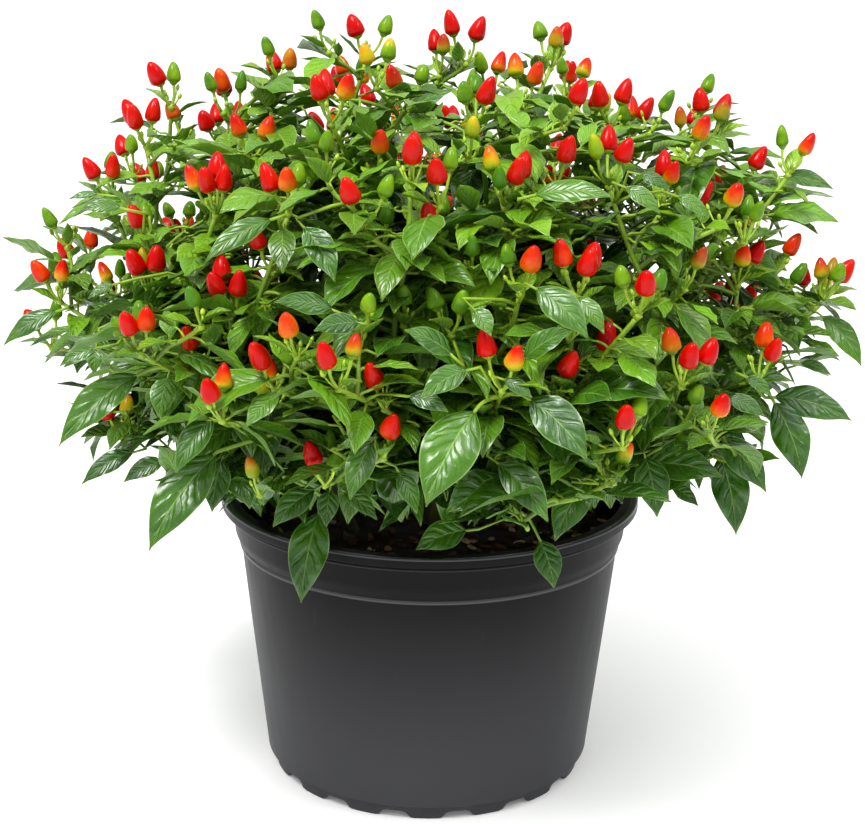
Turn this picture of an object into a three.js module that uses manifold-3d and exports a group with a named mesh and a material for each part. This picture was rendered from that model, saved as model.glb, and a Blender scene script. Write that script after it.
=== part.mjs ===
// Potted ornamental chilli pepper: a round crown of upright fruit and glossy leaves
// on seven stems, in a squat nursery pot. Millimetres, +Z up, the photograph's view from -Y.
import * as THREE from 'three';
import { mergeVertices } from 'three/addons/utils/BufferGeometryUtils.js';
import Module from 'manifold-3d';

// Pot
const RIM_RADIUS = 125;
const POT_HEIGHT = 170;
const BASE_RADIUS = 99;
const WALL = 2.6;
const RIM_OVERHANG = 7;
const LIP_HEIGHT = 5.5;
const COLLAR_HEIGHT = 22;
const COLLAR_STEP = 4.5;
const CHAMFER_HEIGHT = 7;
const COLLAR_TAPER = 0.8;
const FOOT_HEIGHT = 9;
const FOOT_RADIUS = 95;
const FOOT_WIDTH = 3.5;
const FLOOR_BOTTOM = 5.5;
const FLOOR_TOP = 8.5;
const NOTCHES = 16;
const NOTCH = { bottomWidth: 12, topWidth: 8, height: 4.2 };
const DRAIN_HOLES = 4;
const DRAIN = { radius: 7, out: 60 };
const POT_SEGMENTS = 36;

// Soil and the clearance between pieces that meet
const SOIL_HEIGHT = 150;
const SOIL_EDGE_DROP = 1.5;
const SOIL_FLAT_RADIUS = 70;
const SOIL_ROOM = 0.7;
const GAP = 0.3;
const ROOT_DEPTH = 35;
const STEM_RADIUS = 4.2;
const HOLE_ROOM = 1.2;

// Crown: the surface that the fruit stand on
const CROWN = { height: 290, reach: 232, rise: 157, fall: 125 };

// The stems: six round a middle one, each in its own share of the space, between two bearings
const OUTER_STEMS = [
  { name: 'stem_front', from: -113, to: -60, rootOut: 50 },
  { name: 'stem_front_right', from: -60, to: 0, rootOut: 66 },
  { name: 'stem_back_right', from: 0, to: 60, rootOut: 56 },
  { name: 'stem_back', from: 60, to: 120, rootOut: 50 },
  { name: 'stem_back_left', from: 120, to: 180, rootOut: 52 },
  { name: 'stem_front_left', from: 180, to: 247, rootOut: 56 },
];
const LEAN_OUT = 24;
const CROTCH_HEIGHT = 204;
const MIDDLE_CROTCH_HEIGHT = 222;
const BOUGHS = 3;
const MIDDLE_BOUGHS = 5;
const SPREAD_LIMIT = 246;

// The middle stem's share is a cone: the height of its point, and its radius for each mm of height
const CORE_FOOT = 110;
const CORE_SPREAD = 0.5;

// Leaf and fruit
const BLADE_THICKNESS = 1.3;
const LEAF_WIDTH = 0.25;
const BLADE_FOLD = 0.3;
const SMALL_LEAF = 40;
const PETIOLE_RADIUS = 0.8;
const PETIOLE_DEPTH = 1.8;
const TURN_STEP = 0.35;
const TURN_TRIES = 13;
const BOUGH_RADIUS = 3;
const LIMB_RADIUS = 1.6;
const FRUIT_LENGTH = 14;
const FRUIT_RADIUS = 4.8;
const PEDICEL_LENGTH = 14.5;
const PEDICEL_RADIUS = 1.2;
const HEAD_ROOM = 9;

// The photograph's view: the eye's place, its focal length in pixels, its downward tilt and its roll
const EYE = { x: 1, y: -1000, z: 494, focal: 1740 };
const EYE_TILT = THREE.MathUtils.degToRad(15.46);
const EYE_ROLL = THREE.MathUtils.degToRad(0.7);
const PICTURE = { width: 865, height: 824 };

// Fruiting heads of the near side: pixel x, pixel y
const HEAD_PIXELS = [
  [181, 70], [145, 108], [108, 162], [148, 209], [215, 172], [291, 170], [58, 264], [150, 255],
  [230, 275], [140, 312], [366, 22], [331, 82], [404, 72], [440, 38], [476, 86], [552, 30],
  [412, 142], [506, 164], [436, 208], [252, 120], [521, 249], [610, 143], [710, 102], [791, 137],
  [578, 252], [653, 270], [740, 246], [826, 264], [452, 291], [221, 377], [268, 345], [338, 344],
  [325, 444], [503, 347], [615, 328], [684, 344], [625, 404], [761, 339], [385, 366], [120, 400],
];

// Heads elsewhere: this many turns of a spiral over the whole crown, from low down to the top.
// Those that the near side's own heads stand in for are left out, and the lowest bear no fruit.
const SPIRAL_HEADS = 72;
const SPIRAL_FROM = -0.5;
const SPIRAL_TO = 0.97;
const LEAFY_BELOW = -0.25;
const GOLDEN_TURN = Math.PI * (3 - Math.sqrt(5));

// Large leaves of the near side: how far they droop, the share of a full turn that they roll
// towards the eye and the most that one rolls, and where each blade starts and its tip, in pixels
const SEEN_DROOP = 0.6;
const SEEN_ROLL = { share: 0.8, most: 0.9 };
const BLADE_PIXELS = [
  [57, 311, 4, 345], [138, 375, 59, 446], [134, 451, 84, 490], [216, 455, 149, 551],
  [212, 416, 177, 478], [222, 458, 212, 512], [475, 411, 426, 507], [301, 228, 335, 281],
  [452, 357, 404, 332], [467, 372, 421, 397], [535, 288, 580, 332], [506, 380, 531, 397],
  [529, 399, 590, 460], [498, 463, 548, 522], [506, 484, 447, 512], [589, 478, 555, 541],
  [315, 489, 273, 527], [344, 491, 377, 520], [322, 512, 303, 603], [467, 530, 416, 550],
  [540, 540, 554, 588], [273, 210, 205, 262], [538, 190, 612, 197], [773, 395, 852, 420],
  [773, 405, 802, 479], [823, 315, 861, 366], [718, 437, 767, 492], [724, 458, 735, 535],
  [643, 462, 723, 478], [638, 480, 657, 517], [785, 170, 832, 188], [372, 440, 350, 500],
];

const wasm = await Module();
wasm.setup();

// A draw from 0 to 1 that depends only on its keys
function chance(...keys) {
  let state = 17;
  for (const key of [...keys, 5]) {
    state = Math.imul(state ^ key, 2654435761) >>> 0;
    state = (state ^ (state >>> 15)) >>> 0;
  }
  return state / 4294967296;
}

function solidOf(geometry) {
  const bare = geometry.clone();
  bare.deleteAttribute('normal');
  bare.deleteAttribute('uv');
  const merged = mergeVertices(bare, 1e-4);
  const corners = merged.index.array;
  const kept = [];
  for (let i = 0; i < corners.length; i += 3) {
    const [a, b, c] = corners.slice(i, i + 3);
    if (a !== b && b !== c && c !== a) kept.push(a, b, c);
  }
  return new wasm.Manifold(new wasm.Mesh({
    numProp: 3,
    vertProperties: new Float32Array(merged.attributes.position.array),
    triVerts: new Uint32Array(kept),
  }));
}

// The main body of a union, without sealed hollows and loose scraps
function wholeBody(union) {
  const bodies = union.decompose();
  return bodies.reduce((a, b) => (a.volume() > b.volume() ? a : b));
}

function geometryOf(solid) {
  const mesh = solid.getMesh();
  const geometry = new THREE.BufferGeometry();
  geometry.setAttribute('position', new THREE.BufferAttribute(mesh.vertProperties, 3));
  geometry.setIndex(new THREE.BufferAttribute(mesh.triVerts, 1));
  geometry.computeVertexNormals();
  return geometry;
}

// Joins rings of points into a closed skin; a last ring of one point is a tip
function skin(rings) {
  const sides = rings[0].length;
  const starts = [];
  const places = [];
  for (const ring of rings) {
    starts.push(places.length / 3);
    for (const point of ring) places.push(point.x, point.y, point.z);
  }
  const faces = [];
  for (let k = 1; k < sides - 1; k++) faces.push(0, k + 1, k);
  for (let i = 1; i < rings.length; i++) {
    for (let k = 0; k < sides; k++) {
      const next = (k + 1) % sides;
      const [a, b] = [starts[i - 1] + k, starts[i - 1] + next];
      const [c, d] = [starts[i] + next, starts[i] + k];
      if (rings[i].length === 1) faces.push(a, b, starts[i]);
      else if (k % 2 === 0) faces.push(a, b, c, a, c, d);
      else faces.push(a, b, d, b, c, d);
    }
  }
  const last = starts[rings.length - 1];
  if (rings[rings.length - 1].length > 1) {
    for (let k = 1; k < sides - 1; k++) faces.push(last, last + k, last + k + 1);
  }
  const geometry = new THREE.BufferGeometry();
  geometry.setAttribute('position', new THREE.Float32BufferAttribute(places, 3));
  geometry.setIndex(faces);
  return solidOf(geometry);
}

// A tube along a list of points, with a radius at each; a last radius of 0 is a tip
function tube(points, radii, sides) {
  const rings = points.map((point, i) => {
    if (radii[i] === 0) return [point];
    const before = points[Math.max(i - 1, 0)];
    const after = points[Math.min(i + 1, points.length - 1)];
    const along = after.clone().sub(before).normalize();
    const across = new THREE.Vector3(0.6, 0.8, 0).cross(along).normalize();
    const over = along.clone().cross(across);
    return Array.from({ length: sides }, (_, k) => {
      const turn = 2 * Math.PI * k / sides;
      return point.clone()
        .addScaledVector(across, radii[i] * Math.cos(turn))
        .addScaledVector(over, radii[i] * Math.sin(turn));
    });
  });
  return skin(rings);
}

// Evenly spaced points on a chain of straight pieces
function pointsAlong(points, count) {
  const path = new THREE.CurvePath();
  points.slice(1).forEach((point, i) => path.add(new THREE.LineCurve3(points[i], point)));
  return path.getSpacedPoints(count);
}

// A place given by its distance out from the pot's axis, its bearing and its height
function place(out, bearing, height) {
  return new THREE.Vector3(out * Math.cos(bearing), out * Math.sin(bearing), height);
}

// The line of sight through a pixel, for each millimetre of depth into the picture
function sight(pixelX, pixelY) {
  const across = (pixelX - PICTURE.width / 2) / EYE.focal;
  const above = (PICTURE.height / 2 - pixelY) / EYE.focal;
  const right = across * Math.cos(EYE_ROLL) - above * Math.sin(EYE_ROLL);
  const up = across * Math.sin(EYE_ROLL) + above * Math.cos(EYE_ROLL);
  const sin = Math.sin(EYE_TILT);
  const cos = Math.cos(EYE_TILT);
  return new THREE.Vector3(right, cos + up * sin, up * cos - sin);
}

function seenPoint(pixelX, pixelY, depth) {
  return new THREE.Vector3(EYE.x, EYE.y, EYE.z).addScaledVector(sight(pixelX, pixelY), depth);
}

// The depth at which a line of sight first meets the crown, or passes nearest to it
function crownDepth(pixelX, pixelY, scale) {
  let best = 0;
  let least = Infinity;
  for (let depth = 700; depth < 1200 && least > 1; depth += 2) {
    const point = seenPoint(pixelX, pixelY, depth);
    const rise = point.z - CROWN.height;
    const half = rise > 0 ? CROWN.rise : CROWN.fall;
    const off = Math.hypot(point.x / CROWN.reach, point.y / CROWN.reach, rise / half) / scale;
    if (off < least) [best, least] = [depth, off];
  }
  return best;
}

// Pot: one turned shell with a rolled rim, a stepped collar and a notched foot ring
function makePot() {
  const step = POT_HEIGHT - COLLAR_HEIGHT;
  const lip = POT_HEIGHT - LIP_HEIGHT;
  const collar = RIM_RADIUS - RIM_OVERHANG;
  const body = collar - COLLAR_STEP;
  const outside = [
    [0, FLOOR_BOTTOM], [FOOT_RADIUS - FOOT_WIDTH, FLOOR_BOTTOM], [FOOT_RADIUS - FOOT_WIDTH, 0],
    [FOOT_RADIUS, 0], [FOOT_RADIUS + 1, FOOT_HEIGHT - 1], [BASE_RADIUS, FOOT_HEIGHT + 1],
    [body, step - CHAMFER_HEIGHT], [collar - COLLAR_TAPER, step], [collar, lip - 0.5], [RIM_RADIUS, lip],
    [RIM_RADIUS, POT_HEIGHT - 1.5], [RIM_RADIUS - 1.5, POT_HEIGHT],
  ];
  const inside = [
    [collar - WALL + 1, POT_HEIGHT], [collar - WALL, lip + 0.5],
    [collar - COLLAR_TAPER - WALL, step - 1], [body - WALL, step - CHAMFER_HEIGHT - 1],
    [BASE_RADIUS - WALL, FLOOR_TOP], [0, FLOOR_TOP],
  ];
  const outline = [...outside, ...inside].map(([radius, height]) => new THREE.Vector2(radius, height));
  let pot = solidOf(new THREE.LatheGeometry(outline, POT_SEGMENTS).rotateX(Math.PI / 2));
  const notch = new THREE.Shape([
    new THREE.Vector2(-NOTCH.bottomWidth / 2, 0), new THREE.Vector2(NOTCH.bottomWidth / 2, 0),
    new THREE.Vector2(NOTCH.topWidth / 2, NOTCH.height),
    new THREE.Vector2(-NOTCH.topWidth / 2, NOTCH.height),
  ]);
  for (let i = 0; i < NOTCHES; i++) {
    const cutter = new THREE.ExtrudeGeometry(notch, { depth: 3 * FOOT_WIDTH, bevelEnabled: false });
    cutter.rotateX(Math.PI / 2).translate(0, -FOOT_RADIUS + 2 * FOOT_WIDTH, 0);
    pot = pot.subtract(solidOf(cutter.rotateZ(2 * Math.PI * (i + 0.5) / NOTCHES)));
  }
  for (let i = 0; i < DRAIN_HOLES; i++) {
    const cutter = new THREE.CylinderGeometry(DRAIN.radius, DRAIN.radius, 2 * FOOT_HEIGHT, 8);
    cutter.rotateX(Math.PI / 2).translate(DRAIN.out, 0, FOOT_HEIGHT);
    pot = pot.subtract(solidOf(cutter.rotateZ(2 * Math.PI * i / DRAIN_HOLES)));
  }
  return pot;
}

// Soil: fills the pot to below its rim, with a plain hole for each stem
function makeSoil(stems) {
  const step = POT_HEIGHT - COLLAR_HEIGHT;
  const edge = RIM_RADIUS - RIM_OVERHANG - COLLAR_TAPER - WALL - SOIL_ROOM;
  const waist = edge + COLLAR_TAPER - COLLAR_STEP;
  const bottom = FLOOR_TOP + GAP;
  const outline = [
    [0, bottom], [BASE_RADIUS - WALL - SOIL_ROOM, bottom], [waist, step - CHAMFER_HEIGHT - 1],
    [edge, step - 1], [edge, SOIL_HEIGHT - SOIL_EDGE_DROP],
    [SOIL_FLAT_RADIUS, SOIL_HEIGHT], [0, SOIL_HEIGHT],
  ].map(([radius, height]) => new THREE.Vector2(radius, height));
  let soil = solidOf(new THREE.LatheGeometry(outline, POT_SEGMENTS).rotateX(Math.PI / 2));
  const radius = STEM_RADIUS + HOLE_ROOM;
  for (const { root } of stems) {
    const hole = new THREE.CylinderGeometry(radius, radius, 2 * (ROOT_DEPTH + GAP), 8);
    soil = soil.subtract(solidOf(hole.rotateX(Math.PI / 2).translate(root.x, root.y, SOIL_HEIGHT)));
  }
  return soil;
}

// Whether a point lies in the stem's own share of the space, with room to spare
function inShare(stem, point, room) {
  const out = Math.hypot(point.x, point.y);
  const core = CORE_SPREAD * (point.z - CORE_FOOT);
  const overRim = point.z > POT_HEIGHT + room;
  const outsidePot = out > RIM_RADIUS + room;
  const insidePot = out < RIM_RADIUS - 12 && point.z > SOIL_HEIGHT + room;
  if (out > SPREAD_LIMIT || (!overRim && !outsidePot && !insidePot)) return false;
  if (stem.middle) return out < core - room;
  let turn = Math.atan2(point.y, point.x) - stem.bearing;
  turn = Math.abs(Math.atan2(Math.sin(turn), Math.cos(turn)));
  return out > core + room && out * Math.sin(stem.half - turn) > room;
}

// The stem whose share of the space holds a point
function stemAt(stems, point) {
  return stems.find((stem) => inShare(stem, point, 0)) ?? null;
}

// Moves a head just far enough into its stem's share to leave room for what grows on it
function drawIn(stem, point, room) {
  let out = Math.hypot(point.x, point.y);
  let bearing = Math.atan2(point.y, point.x);
  const core = CORE_SPREAD * (point.z - CORE_FOOT);
  if (stem.middle) return place(Math.min(out, core - room), bearing, point.z);
  out = Math.max(out, core + room);
  let turn = bearing - stem.bearing;
  turn = Math.atan2(Math.sin(turn), Math.cos(turn));
  const most = stem.half - Math.asin(Math.min(room / out, 0.9));
  bearing = stem.bearing + THREE.MathUtils.clamp(turn, -most, most);
  return place(out, bearing, point.z);
}

// A limb's route from one place to another, out first and then up, round the pot's axis
function route(from, to, stem, parts) {
  const start = { out: Math.hypot(from.x, from.y), bearing: Math.atan2(from.y, from.x) };
  const end = { out: Math.hypot(to.x, to.y), bearing: Math.atan2(to.y, to.x) };
  let turn = start.out < 1 ? 0 : end.bearing - start.bearing;
  turn = Math.atan2(Math.sin(turn), Math.cos(turn));
  const ease = stem.middle ? 0.8 : 1.25;
  const points = [];
  for (let i = 0; i <= parts; i++) {
    const t = i / parts;
    const out = THREE.MathUtils.lerp(start.out, end.out, t ** (1 / ease));
    const height = THREE.MathUtils.lerp(from.z, to.z, t ** ease);
    points.push(place(out, end.bearing - turn * (1 - t), height));
  }
  return points;
}

// The four-sided rings of a leaf: its petiole, and a blade that folds at the rib and droops
function leafRings({ from, at, heading, pitch, length, droop, roll }) {
  const flat = place(1, heading, 0);
  const side = place(1, heading + Math.PI / 2, 0);
  const rings = [];
  const ring = (centre, slope, half, thick) => {
    const along = flat.clone().multiplyScalar(Math.cos(slope)).setZ(Math.sin(slope));
    const across = side.clone().applyAxisAngle(along, roll);
    const over = along.clone().cross(across);
    const fold = half > PETIOLE_RADIUS ? BLADE_FOLD * half : 0;
    rings.push([
      centre.clone().addScaledVector(across, half).addScaledVector(over, fold),
      centre.clone().addScaledVector(over, thick / 2),
      centre.clone().addScaledVector(across, -half).addScaledVector(over, fold),
      centre.clone().addScaledVector(over, -thick / 2),
    ]);
  };
  const stalk = at.clone().sub(from);
  ring(from, Math.asin(stalk.z / stalk.length()), PETIOLE_RADIUS, PETIOLE_DEPTH);
  const small = [[0, 0], [0.36, 1], [1, 0]];
  const large = [[0, 0], [0.3, 0.97], [0.62, 0.8], [1, 0]];
  for (const [t, share] of length < SMALL_LEAF ? small : large) {
    const centre = at.clone()
      .addScaledVector(flat, length / droop * (Math.sin(pitch) - Math.sin(pitch - droop * t)))
      .add(new THREE.Vector3(0, 0, length / droop * (Math.cos(pitch - droop * t) - Math.cos(pitch))));
    const half = Math.max(PETIOLE_RADIUS, LEAF_WIDTH * length * share);
    if (t === 1) rings.push([centre]);
    else ring(centre, pitch - droop * t, half, BLADE_THICKNESS);
  }
  return rings;
}

// Turns a leaf by the least turn that keeps it in its stem's share and clear of what is there
function clearLeaf(stem, leaf, grown) {
  let fallback = null;
  for (let i = 0; i < TURN_TRIES; i++) {
    if (fallback && i > TURN_TRIES / 3) break;
    const turn = (i % 2 ? 1 : -1) * Math.ceil(i / 2) * TURN_STEP;
    const heading = leaf.heading + turn;
    const stalk = leaf.at.clone().sub(leaf.from).applyAxisAngle(new THREE.Vector3(0, 0, 1), turn);
    const rings = leafRings({ ...leaf, heading, at: leaf.from.clone().add(stalk) });
    if (!rings.flat().every((point) => inShare(stem, point, 1))) continue;
    const blade = skin(rings.slice(1));
    if (!grown.some((other) => meets(blade, other))) return skin(rings);
    fallback ??= skin(rings);
  }
  return fallback;
}

function meets(first, second) {
  const [a, b] = [first.boundingBox(), second.boundingBox()];
  const apart = [0, 1, 2].some((k) => a.min[k] > b.max[k] || b.min[k] > a.max[k]);
  return !apart && !first.intersect(second).isEmpty();
}

// A leaf that grows from a point, by draws with the given keys
function shootLeaf(from, heading, pitch, length, keys) {
  const stalkLength = length * (0.22 + 0.12 * chance(...keys, 1));
  const stalk = place(1, heading, 0)
    .multiplyScalar(Math.cos(pitch)).setZ(Math.sin(pitch));
  return {
    from, heading, pitch, length,
    at: from.clone().addScaledVector(stalk, stalkLength),
    droop: 0.7 + 0.8 * chance(...keys, 2),
    roll: 0.5 * (chance(...keys, 3) - 0.5),
  };
}

// A blade between two seen pixels, tipped and rolled towards the eye
function seenLeaf([startX, startY, tipX, tipY]) {
  const depth = crownDepth(startX, startY, 0.93);
  const start = seenPoint(startX, startY, depth);
  const spread = Math.hypot(tipX - startX, tipY - startY) * depth / EYE.focal;
  const facing = THREE.MathUtils.clamp(-start.y / CROWN.reach, 0, 1);
  const chord = seenPoint(tipX, tipY, depth - 0.35 * spread * facing).sub(start);
  const reach = chord.length();
  const side = place(1, Math.atan2(chord.y, chord.x) + Math.PI / 2, 0);
  const over = chord.clone().cross(side).normalize();
  const toEye = new THREE.Vector3(EYE.x, EYE.y, EYE.z).sub(start);
  const roll = SEEN_ROLL.share * Math.atan2(-side.dot(toEye), over.dot(toEye));
  return {
    at: start, heading: Math.atan2(chord.y, chord.x), droop: SEEN_DROOP,
    roll: THREE.MathUtils.clamp(roll, -SEEN_ROLL.most, SEEN_ROLL.most),
    pitch: Math.asin(chord.z / reach) + SEEN_DROOP / 2,
    length: reach * (SEEN_DROOP / 2) / Math.sin(SEEN_DROOP / 2),
  };
}

// A limb from its bough to a head, its pedicel and its upright fruit, in one skin
function makeLimb(from, head, lean) {
  const base = head.clone().addScaledVector(lean, PEDICEL_LENGTH);
  const along = (distance) => base.clone().addScaledVector(lean, distance);
  return tube(
    [from, head, base, along(FRUIT_LENGTH * 0.27), along(FRUIT_LENGTH * 0.66), along(FRUIT_LENGTH)],
    [LIMB_RADIUS, LIMB_RADIUS, PEDICEL_RADIUS, FRUIT_RADIUS, FRUIT_RADIUS * 0.8, 0], 5,
  );
}

// The heads: those seen on the near side, and the spiral's on the far side and low down
function makeHeads(stems) {
  const heads = [];
  const add = (key, point, bearsFruit) => {
    const stem = stemAt(stems, point);
    if (stem) heads.push({ stem, key, bearsFruit, point: drawIn(stem, point, HEAD_ROOM) });
  };
  const drop = PEDICEL_LENGTH + FRUIT_LENGTH / 2;
  HEAD_PIXELS.forEach(([pixelX, pixelY], i) => {
    const depth = crownDepth(pixelX, pixelY, 1 - 0.2 * chance(i, 1));
    const point = seenPoint(pixelX, pixelY, depth);
    point.z -= drop;
    add(i, point, true);
  });
  for (let i = 0; i < SPIRAL_HEADS; i++) {
    const rise = THREE.MathUtils.lerp(SPIRAL_FROM, SPIRAL_TO, (i + 0.5) / SPIRAL_HEADS);
    const scale = 1 - 0.16 * chance(i, 22);
    const bearing = i * GOLDEN_TURN + 0.4 * (chance(i, 21) - 0.5);
    const out = CROWN.reach * Math.sqrt(1 - rise * rise) * scale;
    const half = rise > 0 ? CROWN.rise : CROWN.fall;
    const point = place(out, bearing, CROWN.height + half * rise * scale - drop);
    const leafy = rise < LEAFY_BELOW;
    if (leafy || point.y > 10) add(200 + i, point, !leafy);
  }
  return heads;
}

// Shares a stem's heads among its boughs by bearing
function makeBoughs(stem, heads) {
  const bearing = (head) => {
    const turn = Math.atan2(head.point.y, head.point.x) - stem.bearing;
    return Math.atan2(Math.sin(turn), Math.cos(turn));
  };
  const own = heads.filter((head) => head.stem === stem).sort((a, b) => bearing(a) - bearing(b));
  const count = stem.middle ? MIDDLE_BOUGHS : BOUGHS;
  return Array.from({ length: count }, (_, i) => {
    const group = own.filter((_, k) => Math.floor(k * count / own.length) === i);
    group.sort((a, b) => a.point.z - b.point.z);
    const mean = (value) => group.reduce((sum, head) => sum + value(head), 0) / group.length;
    const middle = place(
      mean((head) => Math.hypot(head.point.x, head.point.y)),
      stem.bearing + mean(bearing),
      mean((head) => head.point.z),
    );
    return { group, end: route(stem.crotch, middle, stem, 5)[4] };
  });
}

function nearest(points, target) {
  return points.reduce((a, b) => (a.distanceTo(target) < b.distanceTo(target) ? a : b));
}

function makeStem(stem, heads) {
  const foot = new THREE.Vector3(stem.root.x, stem.root.y, SOIL_HEIGHT - ROOT_DEPTH);
  const collar = new THREE.Vector3(stem.root.x, stem.root.y, SOIL_HEIGHT + 6);
  const grown = [tube([foot, collar, stem.crotch], [STEM_RADIUS, STEM_RADIUS, 3.6], 6)];
  const wood = [];
  const leaves = [];
  makeBoughs(stem, heads).forEach(({ group, end }, i) => {
    const start = collar.clone().lerp(stem.crotch, 0.95 - 0.17 * i);
    const way = route(start, end, stem, 2);
    grown.push(tube(way, [BOUGH_RADIUS, BOUGH_RADIUS - 0.3, BOUGH_RADIUS - 0.6], 5));
    const bough = pointsAlong(way, 20);
    wood.push(...bough.slice(3));
    group.forEach((head, k) => {
      const limb = [bough[Math.round(20 * (0.35 + 0.6 * (k + 1) / group.length))], head.point];
      const outward = Math.atan2(head.point.y, head.point.x);
      const side = chance(head.key, 4) < 0.5 ? -1 : 1;
      const lean = place(0.3, outward + 2 * (chance(head.key, 11) - 0.5), 1).normalize();
      grown.push(head.bearsFruit ? makeLimb(...limb, lean) : tube(limb, [LIMB_RADIUS, 1], 5));
      const twigs = pointsAlong(limb, 10);
      wood.push(...twigs.slice(2, 10));
      leaves.push(shootLeaf(
        twigs[5], outward - side * (0.3 + 0.9 * chance(head.key, 8)), 0.15,
        42 + 14 * chance(head.key, 9), [head.key, 10],
      ));
      if (head.key < 200) return;
      leaves.push(shootLeaf(
        twigs[9], outward + side * (0.3 + chance(head.key, 5)), 0.2,
        30 + 12 * chance(head.key, 6), [head.key, 7],
      ));
    });
  });
  for (const pixels of BLADE_PIXELS) {
    const leaf = seenLeaf(pixels);
    if (stemAt([stem], leaf.at)) leaves.unshift({ ...leaf, from: nearest(wood, leaf.at) });
  }
  for (const leaf of leaves) {
    const blade = clearLeaf(stem, leaf, grown);
    if (blade) grown.push(blade);
  }
  return wholeBody(wasm.Manifold.union(grown));
}

function addMesh(group, name, solid, colour, roughness) {
  const material = new THREE.MeshStandardMaterial({ color: colour, roughness, metalness: 0 });
  const mesh = new THREE.Mesh(geometryOf(solid), material);
  mesh.name = name;
  group.add(mesh);
}

const stems = OUTER_STEMS.map(({ name, from, to, rootOut }) => {
  const bearing = THREE.MathUtils.degToRad((from + to) / 2);
  return {
    name, bearing, middle: false, half: THREE.MathUtils.degToRad((to - from) / 2),
    root: place(rootOut, bearing, SOIL_HEIGHT), crotch: place(rootOut + LEAN_OUT, bearing, CROTCH_HEIGHT),
  };
});
stems.push({
  name: 'stem_middle', bearing: 0, middle: true,
  root: place(0, 0, SOIL_HEIGHT), crotch: place(0, 0, MIDDLE_CROTCH_HEIGHT),
});

const plant = new THREE.Group();
addMesh(plant, 'pot', makePot(), 0x2b2b2d, 0.45);
addMesh(plant, 'soil', makeSoil(stems), 0x2a1c14, 0.95);
const heads = makeHeads(stems);
for (const stem of stems) addMesh(plant, stem.name, makeStem(stem, heads), 0x2f7a24, 0.4);

export default plant;
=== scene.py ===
# %% [markdown]
# # A potted ornamental chilli pepper
# A compact pepper plant grows in a squat nursery pot of dark plastic. Its crown is a round
# cushion of glossy leaves, and small fruit stand upright all over it, from green through
# yellow and orange to red.
#
# This script dresses the packed CAD model, whose nodes are the pot, the soil and seven stems
# with a few leaves and fruit each. Every one of them gets finer pieces that keep its place.
# Lengths are worked out in millimetres, and turned into metres where a mesh is made. Without
# the model, the pieces would have nothing to stand on and no size to keep to.

import math

import bpy
import numpy as np
from mathutils import Matrix, Vector


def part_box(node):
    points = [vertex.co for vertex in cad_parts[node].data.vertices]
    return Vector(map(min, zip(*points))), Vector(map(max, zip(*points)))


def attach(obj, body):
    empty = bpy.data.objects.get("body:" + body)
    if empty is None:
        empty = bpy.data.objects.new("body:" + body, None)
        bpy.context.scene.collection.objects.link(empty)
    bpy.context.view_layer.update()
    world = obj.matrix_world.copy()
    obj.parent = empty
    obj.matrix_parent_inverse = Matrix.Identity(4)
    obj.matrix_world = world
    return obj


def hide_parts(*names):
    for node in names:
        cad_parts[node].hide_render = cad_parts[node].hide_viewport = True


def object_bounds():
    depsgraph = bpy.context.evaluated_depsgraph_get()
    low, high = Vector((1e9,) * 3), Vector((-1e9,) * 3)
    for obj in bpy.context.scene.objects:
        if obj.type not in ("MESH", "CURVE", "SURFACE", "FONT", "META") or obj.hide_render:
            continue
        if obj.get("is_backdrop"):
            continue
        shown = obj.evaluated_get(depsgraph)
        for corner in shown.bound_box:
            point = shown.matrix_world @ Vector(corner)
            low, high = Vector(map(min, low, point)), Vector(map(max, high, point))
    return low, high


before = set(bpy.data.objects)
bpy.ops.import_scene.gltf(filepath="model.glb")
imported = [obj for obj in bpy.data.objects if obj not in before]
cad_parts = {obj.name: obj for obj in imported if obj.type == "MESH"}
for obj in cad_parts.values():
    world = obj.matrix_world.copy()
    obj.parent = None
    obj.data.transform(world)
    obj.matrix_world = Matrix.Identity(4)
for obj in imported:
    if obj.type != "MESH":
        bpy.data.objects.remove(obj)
cad_low, cad_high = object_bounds()
print("CAD box, mm:", [round(v * 1000) for v in (*cad_low, *cad_high)])

# %% [markdown]
# ## Sizes
# The real pot is a squat nursery pot about ten inches across its rim. The sizes below could be
# measured on the packed meshes, but a named number is easier to read. So only the overall sizes
# are read from the frame, and the others repeat the CAD model's own, because the finer pieces
# must sit where the plain ones are.

# %% Sizes of the pot
MM = 0.001
RIM_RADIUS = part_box("pot")[1].x / MM
POT_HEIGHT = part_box("pot")[1].z / MM
SOIL_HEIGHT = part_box("soil")[1].z / MM
SOIL_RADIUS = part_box("soil")[1].x / MM
FLOOR_TOP = 8.5
BASE_RADIUS = 99
FOOT_RADIUS = 95
FOOT_WIDTH = 3.5
FOOT_HEIGHT = 9
WALL = 2.6
COLLAR_RADIUS = RIM_RADIUS - 7
COLLAR_HEIGHT = 22
COLLAR_STEP = 4.5
COLLAR_TAPER = 0.8
CHAMFER_HEIGHT = 7
LIP_HEIGHT = 5.5
NOTCHES = 16
NOTCH_HEIGHT = 4.2
DRAIN_HOLES = 4
DRAIN_RADIUS = 7
DRAIN_OUT = 60
print("pot, mm:", round(RIM_RADIUS * 2), "x", round(POT_HEIGHT), "soil up to", round(SOIL_HEIGHT))

# %% Sizes of the plant
ROOT_DEPTH = 35
STEM_RADIUS = 4.2
BOUGH_RADIUS = 3
LIMB_RADIUS = 1.6
LEAN_OUT = 24
CROTCH_HEIGHT = 204
MIDDLE_CROTCH_HEIGHT = 222
SPREAD_LIMIT = 246
CORE_FOOT = 110
CORE_SPREAD = 0.5
CROWN_HEIGHT, CROWN_REACH, CROWN_RISE, CROWN_FALL = 290, 232, 157, 125

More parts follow.
